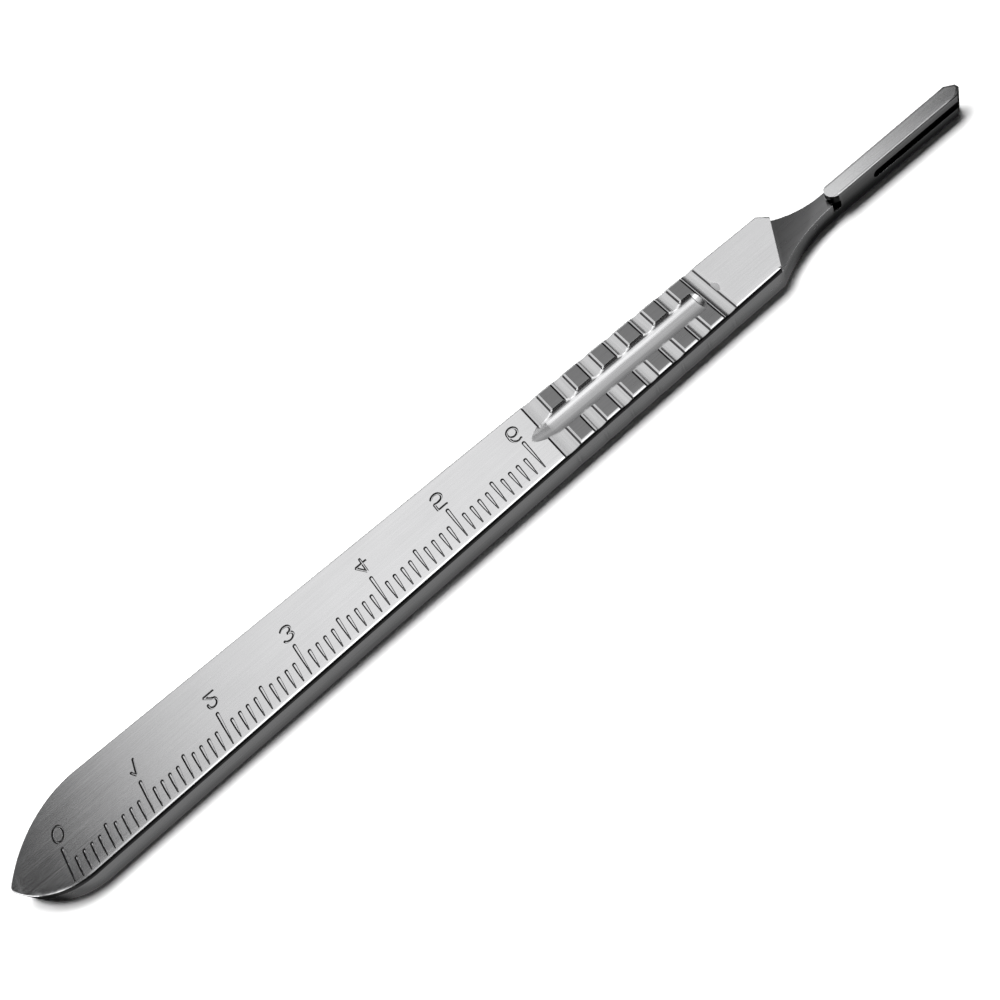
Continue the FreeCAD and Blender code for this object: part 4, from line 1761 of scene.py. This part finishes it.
    def cutters(self) -> List[bpy.types.Object]:
        """The cutters for the seat, the notch in its near half with its undercut, and the two slots.

        Returns:
            The cutters in the order of their use.
        """
        bar = self.bar
        fit = self.fitting
        margin = bar.shoulder_slant
        reach = bar.shoulder_half_width * 2 - bar.corner_drop
        drift = bar.shoulder_slant / reach
        low_x = bar.shoulder - drift * margin
        high_x = bar.shoulder + drift * (bar.shoulder_half_width * 2 + margin)
        notch = bar.lug_start - fit.notch_length
        above = bar.thickness + fit.clear
        ceiling = fit.slot_floor + fit.slot_height
        wide = bar.tail_half_width
        seat = self.prism("seat", self.gap_ring(low_x, high_x, margin),
                          bar.thickness - fit.seat_depth, above, Finish.SEAT)
        ring = [place for place in self.gap_ring(notch, notch, margin) if place[1] <= -bar.lug_offset]
        middle = ring[-1][1]
        hollow = self.prism("notch", ring + [(notch, middle)], fit.slot_floor, above, Finish.SEAT)
        undercut_to = bar.lug_start + fit.notch_overhang
        undercut = self.prism(
            "undercut", [(notch, fit.slot_floor), (undercut_to, fit.slot_floor),
                         (undercut_to, ceiling), (notch, ceiling)], -wide, middle, Finish.SEAT, True)
        half = fit.slot_height / 2
        start = bar.lug_start + fit.slot_setback + half
        beyond = bar.nose + bar.nose_length
        ring = [(beyond, fit.slot_floor), (beyond, ceiling)]
        floor, centre = (start, fit.slot_floor), (start, fit.slot_floor + half)
        ring += arc_between((start, ceiling), floor, centre, Turn.LEFT, fit.slot_step)
        # the slots' floors and walls all get painted shade
        near = self.prism("near_slot", ring, bar.lug_low - fit.clear, bar.lug_low + fit.slot_depth,
                          Finish.EDGE, True)
        far = self.prism("far_slot", ring, bar.lug_high - fit.slot_depth, bar.lug_high + fit.clear,
                         Finish.EDGE, True)
        return [seat, hollow, undercut, near, far]

    def gap_ring(self, low_x: float, high_x: float, margin: float) -> List[Plan]:
        """An area across the bar that ends at the rounded rear of the lug's cap.

        Args:
            low_x: The area's tail end on the near side.
            high_x: Its tail end on the far side.
            margin: How far it stands past the bar's sides.

        Returns:
            The area's outline.
        """
        bar = self.bar
        bulge = self.fitting.rear_round
        half = bar.lug_half_width
        radius = (half * half + bulge * bulge) / (bulge * 2)
        rear = bar.lug_start + bulge
        centre = (rear - bulge + radius, -bar.lug_offset)
        low = -(bar.shoulder_half_width + margin)
        near, far = (rear, bar.lug_low), (rear, bar.lug_high)
        arc = arc_between(near, far, centre, Turn.RIGHT, self.fitting.rear_step)
        return [(low_x, low), (rear, low)] + arc + [(rear, -low), (high_x, -low)]

    def broken_edges(self, mesh: bpy.types.Mesh) -> bpy.types.Mesh:
        """Breaks the sharp edges of the front and opens it at the split.

        Args:
            mesh: The cut front.

        Returns:
            The same mesh with broken edges.
        """
        work = bmesh.new()
        work.from_mesh(mesh)
        bmesh.ops.remove_doubles(work, verts=work.verts, dist=self.CUT_JOINED * MM)
        plane = self.split * MM
        near = self.LEVEL * MM
        cap = [f for f in work.faces if all(abs(v.co.x - plane) < near for v in f.verts)]
        bmesh.ops.delete(work, geom=cap, context="FACES")
        seat = (self.bar.thickness - self.fitting.seat_depth) * MM
        least = math.radians(self.fitting.sharp_angle)
        for width, on_seat in ((self.fitting.seat_break, True), (self.fitting.edge_break, False)):
            sharp = []
            for edge in work.edges:
                if len(edge.link_faces) != 2 or min(v.co.x for v in edge.verts) < plane + MM:
                    continue
                level = all(abs(v.co.z - seat) < near for v in edge.verts)
                if edge.calc_face_angle(0.0) > least and level == on_seat:
                    sharp.append(edge)
            bmesh.ops.bevel(work, geom=sharp, offset=width * MM, offset_type="OFFSET",
                            segments=2, profile=0.5, affect="EDGES", clamp_overlap=True)
        work.to_mesh(mesh)
        work.free()
        return mesh


@dataclass(frozen=True)
class Lamp:
    """A lamp that lights the table and doesn't show in the steel."""

    name: str
    place: Triple
    target: Triple
    power: float

    def light(self, kind: str) -> bpy.types.Light:
        """Makes the light itself.

        Args:
            kind: AREA or SPOT.

        Returns:
            The light.
        """
        light = bpy.data.lights.new(self.name, kind)
        light.energy = self.power
        return light

    def hang(self, light: bpy.types.Light) -> None:
        """Hangs the light at its place, turned to its target.

        Args:
            light: The light.
        """
        lamp = bpy.data.objects.new(self.name, light)
        lamp.visible_glossy = False
        lamp.location = self.place
        aim = Vector(self.target) - Vector(self.place)
        lamp.rotation_euler = aim.to_track_quat("-Z", "Y").to_euler()
        bpy.context.collection.objects.link(lamp)


@dataclass(frozen=True)
class Softbox(Lamp):
    """A soft rectangular lamp."""

    width: float
    height: float

    def build(self) -> None:
        """Makes and hangs the lamp."""
        light = self.light("AREA")
        light.shape = "RECTANGLE"
        light.size = self.width
        light.size_y = self.height
        self.hang(light)


@dataclass(frozen=True)
class Spot(Lamp):
    """A small spotlight with a soft rim."""

    angle: float
    radius: float

    def build(self) -> None:
        """Makes and hangs the lamp."""
        light = self.light("SPOT")
        light.spot_size = math.radians(self.angle)
        light.spot_blend = 1.0
        light.shadow_soft_size = self.radius
        self.hang(light)


@dataclass(frozen=True)
class Table:
    """The white table that the handle lies on, with a painted reflection: a grey glow that only the steel's
    mirror rays see.
    """

    half_size: float = 0.26
    roughness: float = 0.9
    gap: float = 0.00001
    colour: float = 0.9
    edge_at_middle: float = 4.23
    taper: float = 0.0234
    # strengths and distances of the painted reflection's glow: grey beside the handle, painted shade under
    # it, fading far away
    close: float = 0.15
    dim: float = 0.1
    dim_until: float = 1.6
    dim_from: float = 0.4
    lit: float = 0.32
    away: float = 0.012
    lit_from: float = 1.2
    fades_from: float = 1.9
    fades_to: float = 3.2

    def build(self) -> None:
        """Makes the table top and its finish."""
        mesh = bpy.data.meshes.new("table")
        half = self.half_size
        corners = [(-half, -half), (half, -half), (half, half), (-half, half)]
        mesh.from_pydata([(x, y, -self.gap) for x, y in corners], [], [(0, 1, 2, 3)])
        mesh.materials.append(self.material())
        table = bpy.data.objects.new("table", mesh)
        bpy.context.collection.objects.link(table)

    def material(self) -> bpy.types.Material:
        """White with the handle's real shadow, and for mirror rays a painted reflection: a grey glowing card
        beside the handle, darker under it as painted shade.

        Returns:
            The material.
        """
        material = bpy.data.materials.new("table_white")
        material.use_nodes = True
        board = NodeBoard(material.node_tree)
        nodes = material.node_tree.nodes
        shader = nodes["Principled BSDF"]
        shader.inputs["Base Color"].default_value = (self.colour, self.colour, self.colour, 1.0)
        shader.inputs["Roughness"].default_value = self.roughness
        shader.inputs["Specular IOR Level"].default_value = 0.0
        x, y, _ = board.parts(board.place("Object"))
        away = board.calculated("MULTIPLY_ADD", x, self.taper, board.calculated("ABSOLUTE", y))
        strength: Source = 1.0
        for start, end, low, high in ((0.0, self.lit_from, self.close, self.lit),
                                      (-self.dim_until, -self.dim_from, self.dim, 1.0),
                                      (self.fades_from, self.fades_to, 1.0, self.away / self.lit)):
            ends = ((self.edge_at_middle + start) * MM, (self.edge_at_middle + end) * MM)
            strength = board.calculated("MULTIPLY", strength, board.ramp(away, ends, (low, high)))
        # painted reflection: an emission that only glossy rays see
        card = board.node("Emission")
        board.feed(card.inputs["Strength"], strength)
        mix = board.node("MixShader")
        board.feed(mix.inputs["Fac"], board.node("LightPath").outputs["Is Glossy Ray"])
        board.feed(mix.inputs[1], shader.outputs["BSDF"])
        board.feed(mix.inputs[2], card.outputs["Emission"])
        board.feed(nodes["Material Output"].inputs["Surface"], mix.outputs["Shader"])
        return material


@dataclass(frozen=True)
class Room:
    """What the steel mirrors: a bright card overhead, a softer one behind, and a dark room in front."""

    across: Tuple[Plan, ...] = (
        (-1.0, 0.02), (-0.95, 0.02), (-0.87, 0.9), (-0.8, 0.9), (-0.72, 0.02), (-0.45, 0.02), (-0.28, 0.4),
        (-0.12, 2.2), (0.1, 2.2), (0.24, 1.05), (0.66, 0.98), (0.9, 0.62), (1.0, 0.5))
    along: Tuple[Plan, ...] = (
        (-1.0, 1.5), (-0.68, 1.5), (-0.55, 0.03), (-0.47, 0.03), (-0.42, 0.12), (-0.38, 0.66), (-0.34, 0.87),
        (-0.25, 1.12), (-0.1, 1.2), (0.1, 1.14), (0.29, 0.99), (0.36, 1.25), (0.42, 0.6), (0.455, 0.25),
        (0.48, 0.06), (1.0, 0.06))
    diffuse: float = 0.003

    def build(self) -> None:
        """Sets up the world."""
        world = bpy.data.worlds.new("room")
        world.use_nodes = True
        bpy.context.scene.world = world
        board = NodeBoard(world.node_tree)
        background = world.node_tree.nodes["Background"]
        x, y, _ = board.parts(board.place("Generated"))
        mirrored = board.calculated("MULTIPLY", board.curve(y, self.across), board.curve(x, self.along))
        path = board.node("LightPath").outputs
        unseen = board.mixed("FLOAT", path["Is Glossy Ray"], self.diffuse, mirrored)
        board.feed(background.inputs["Strength"], board.mixed("FLOAT", path["Is Camera Ray"], unseen, 1.0))
        background.inputs["Color"].default_value = (1.0, 1.0, 1.0, 1.0)


@dataclass(frozen=True)
class Viewpoint:
    """The camera, placed where the photograph was taken from."""

    place: Triple = (0.214, -65.22, 95.634)
    right: Triple = (0.76398, -0.53584, -0.35947)
    up: Triple = (0.64524, 0.63336, 0.42721)
    lens: float = 41.56
    sensor: float = 36.0
    nearest: float = 2.0

    def build(self) -> None:
        """Sets up the camera and makes it the scene's own."""
        data = bpy.data.cameras.new("viewpoint")
        data.lens = self.lens
        data.sensor_width = self.sensor
        data.clip_start = self.nearest * MM
        camera = bpy.data.objects.new("viewpoint", data)
        right = Vector(self.right).normalized()
        up = Vector(self.up).normalized()
        back = right.cross(up).normalized()
        up = back.cross(right)
        turn = Matrix((right, up, back)).transposed().to_4x4()
        camera.matrix_world = Matrix.Translation(Vector(self.place) * MM) @ turn
        bpy.context.collection.objects.link(camera)
        bpy.context.scene.camera = camera


def build_handle() -> None:
    """Builds the handle, dresses it and ties it to the frame."""
    handle = ScalpelHandle(BarSizes.from_frame())
    piece = handle.build()
    HandleFinishes().dress(piece)
    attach(piece, "root")
    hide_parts(NODE)
    triangles = sum(len(p.vertices) - 2 for p in piece.data.polygons)
    LOG.info("%s: %d triangles", piece.name, triangles)


def build_studio() -> None:
    """Builds the table, the lamps, the room's light and the camera."""
    Table().build()
    Softbox("softbox_behind", (0.0, 0.205, 0.55), (0.0, 0.0, 0.0), 5.7, 0.45, 0.22).build()
    Spot("spot_over_tail", (-0.046, 0.03, 0.3), (-0.046, -0.004, 0.0), 1.1, 17.0, 0.02).build()
    Room().build()
    Viewpoint().build()
    bpy.context.scene.view_settings.view_transform = "Standard"
    LOG.info("table, lamps and camera are in place")


def main() -> None:
    """Builds the handle and its surroundings in order."""
    logging.basicConfig(level=logging.INFO, format="%(name)s: %(message)s")
    build_handle()
    build_studio()


if __name__ == "__main__":
    main()
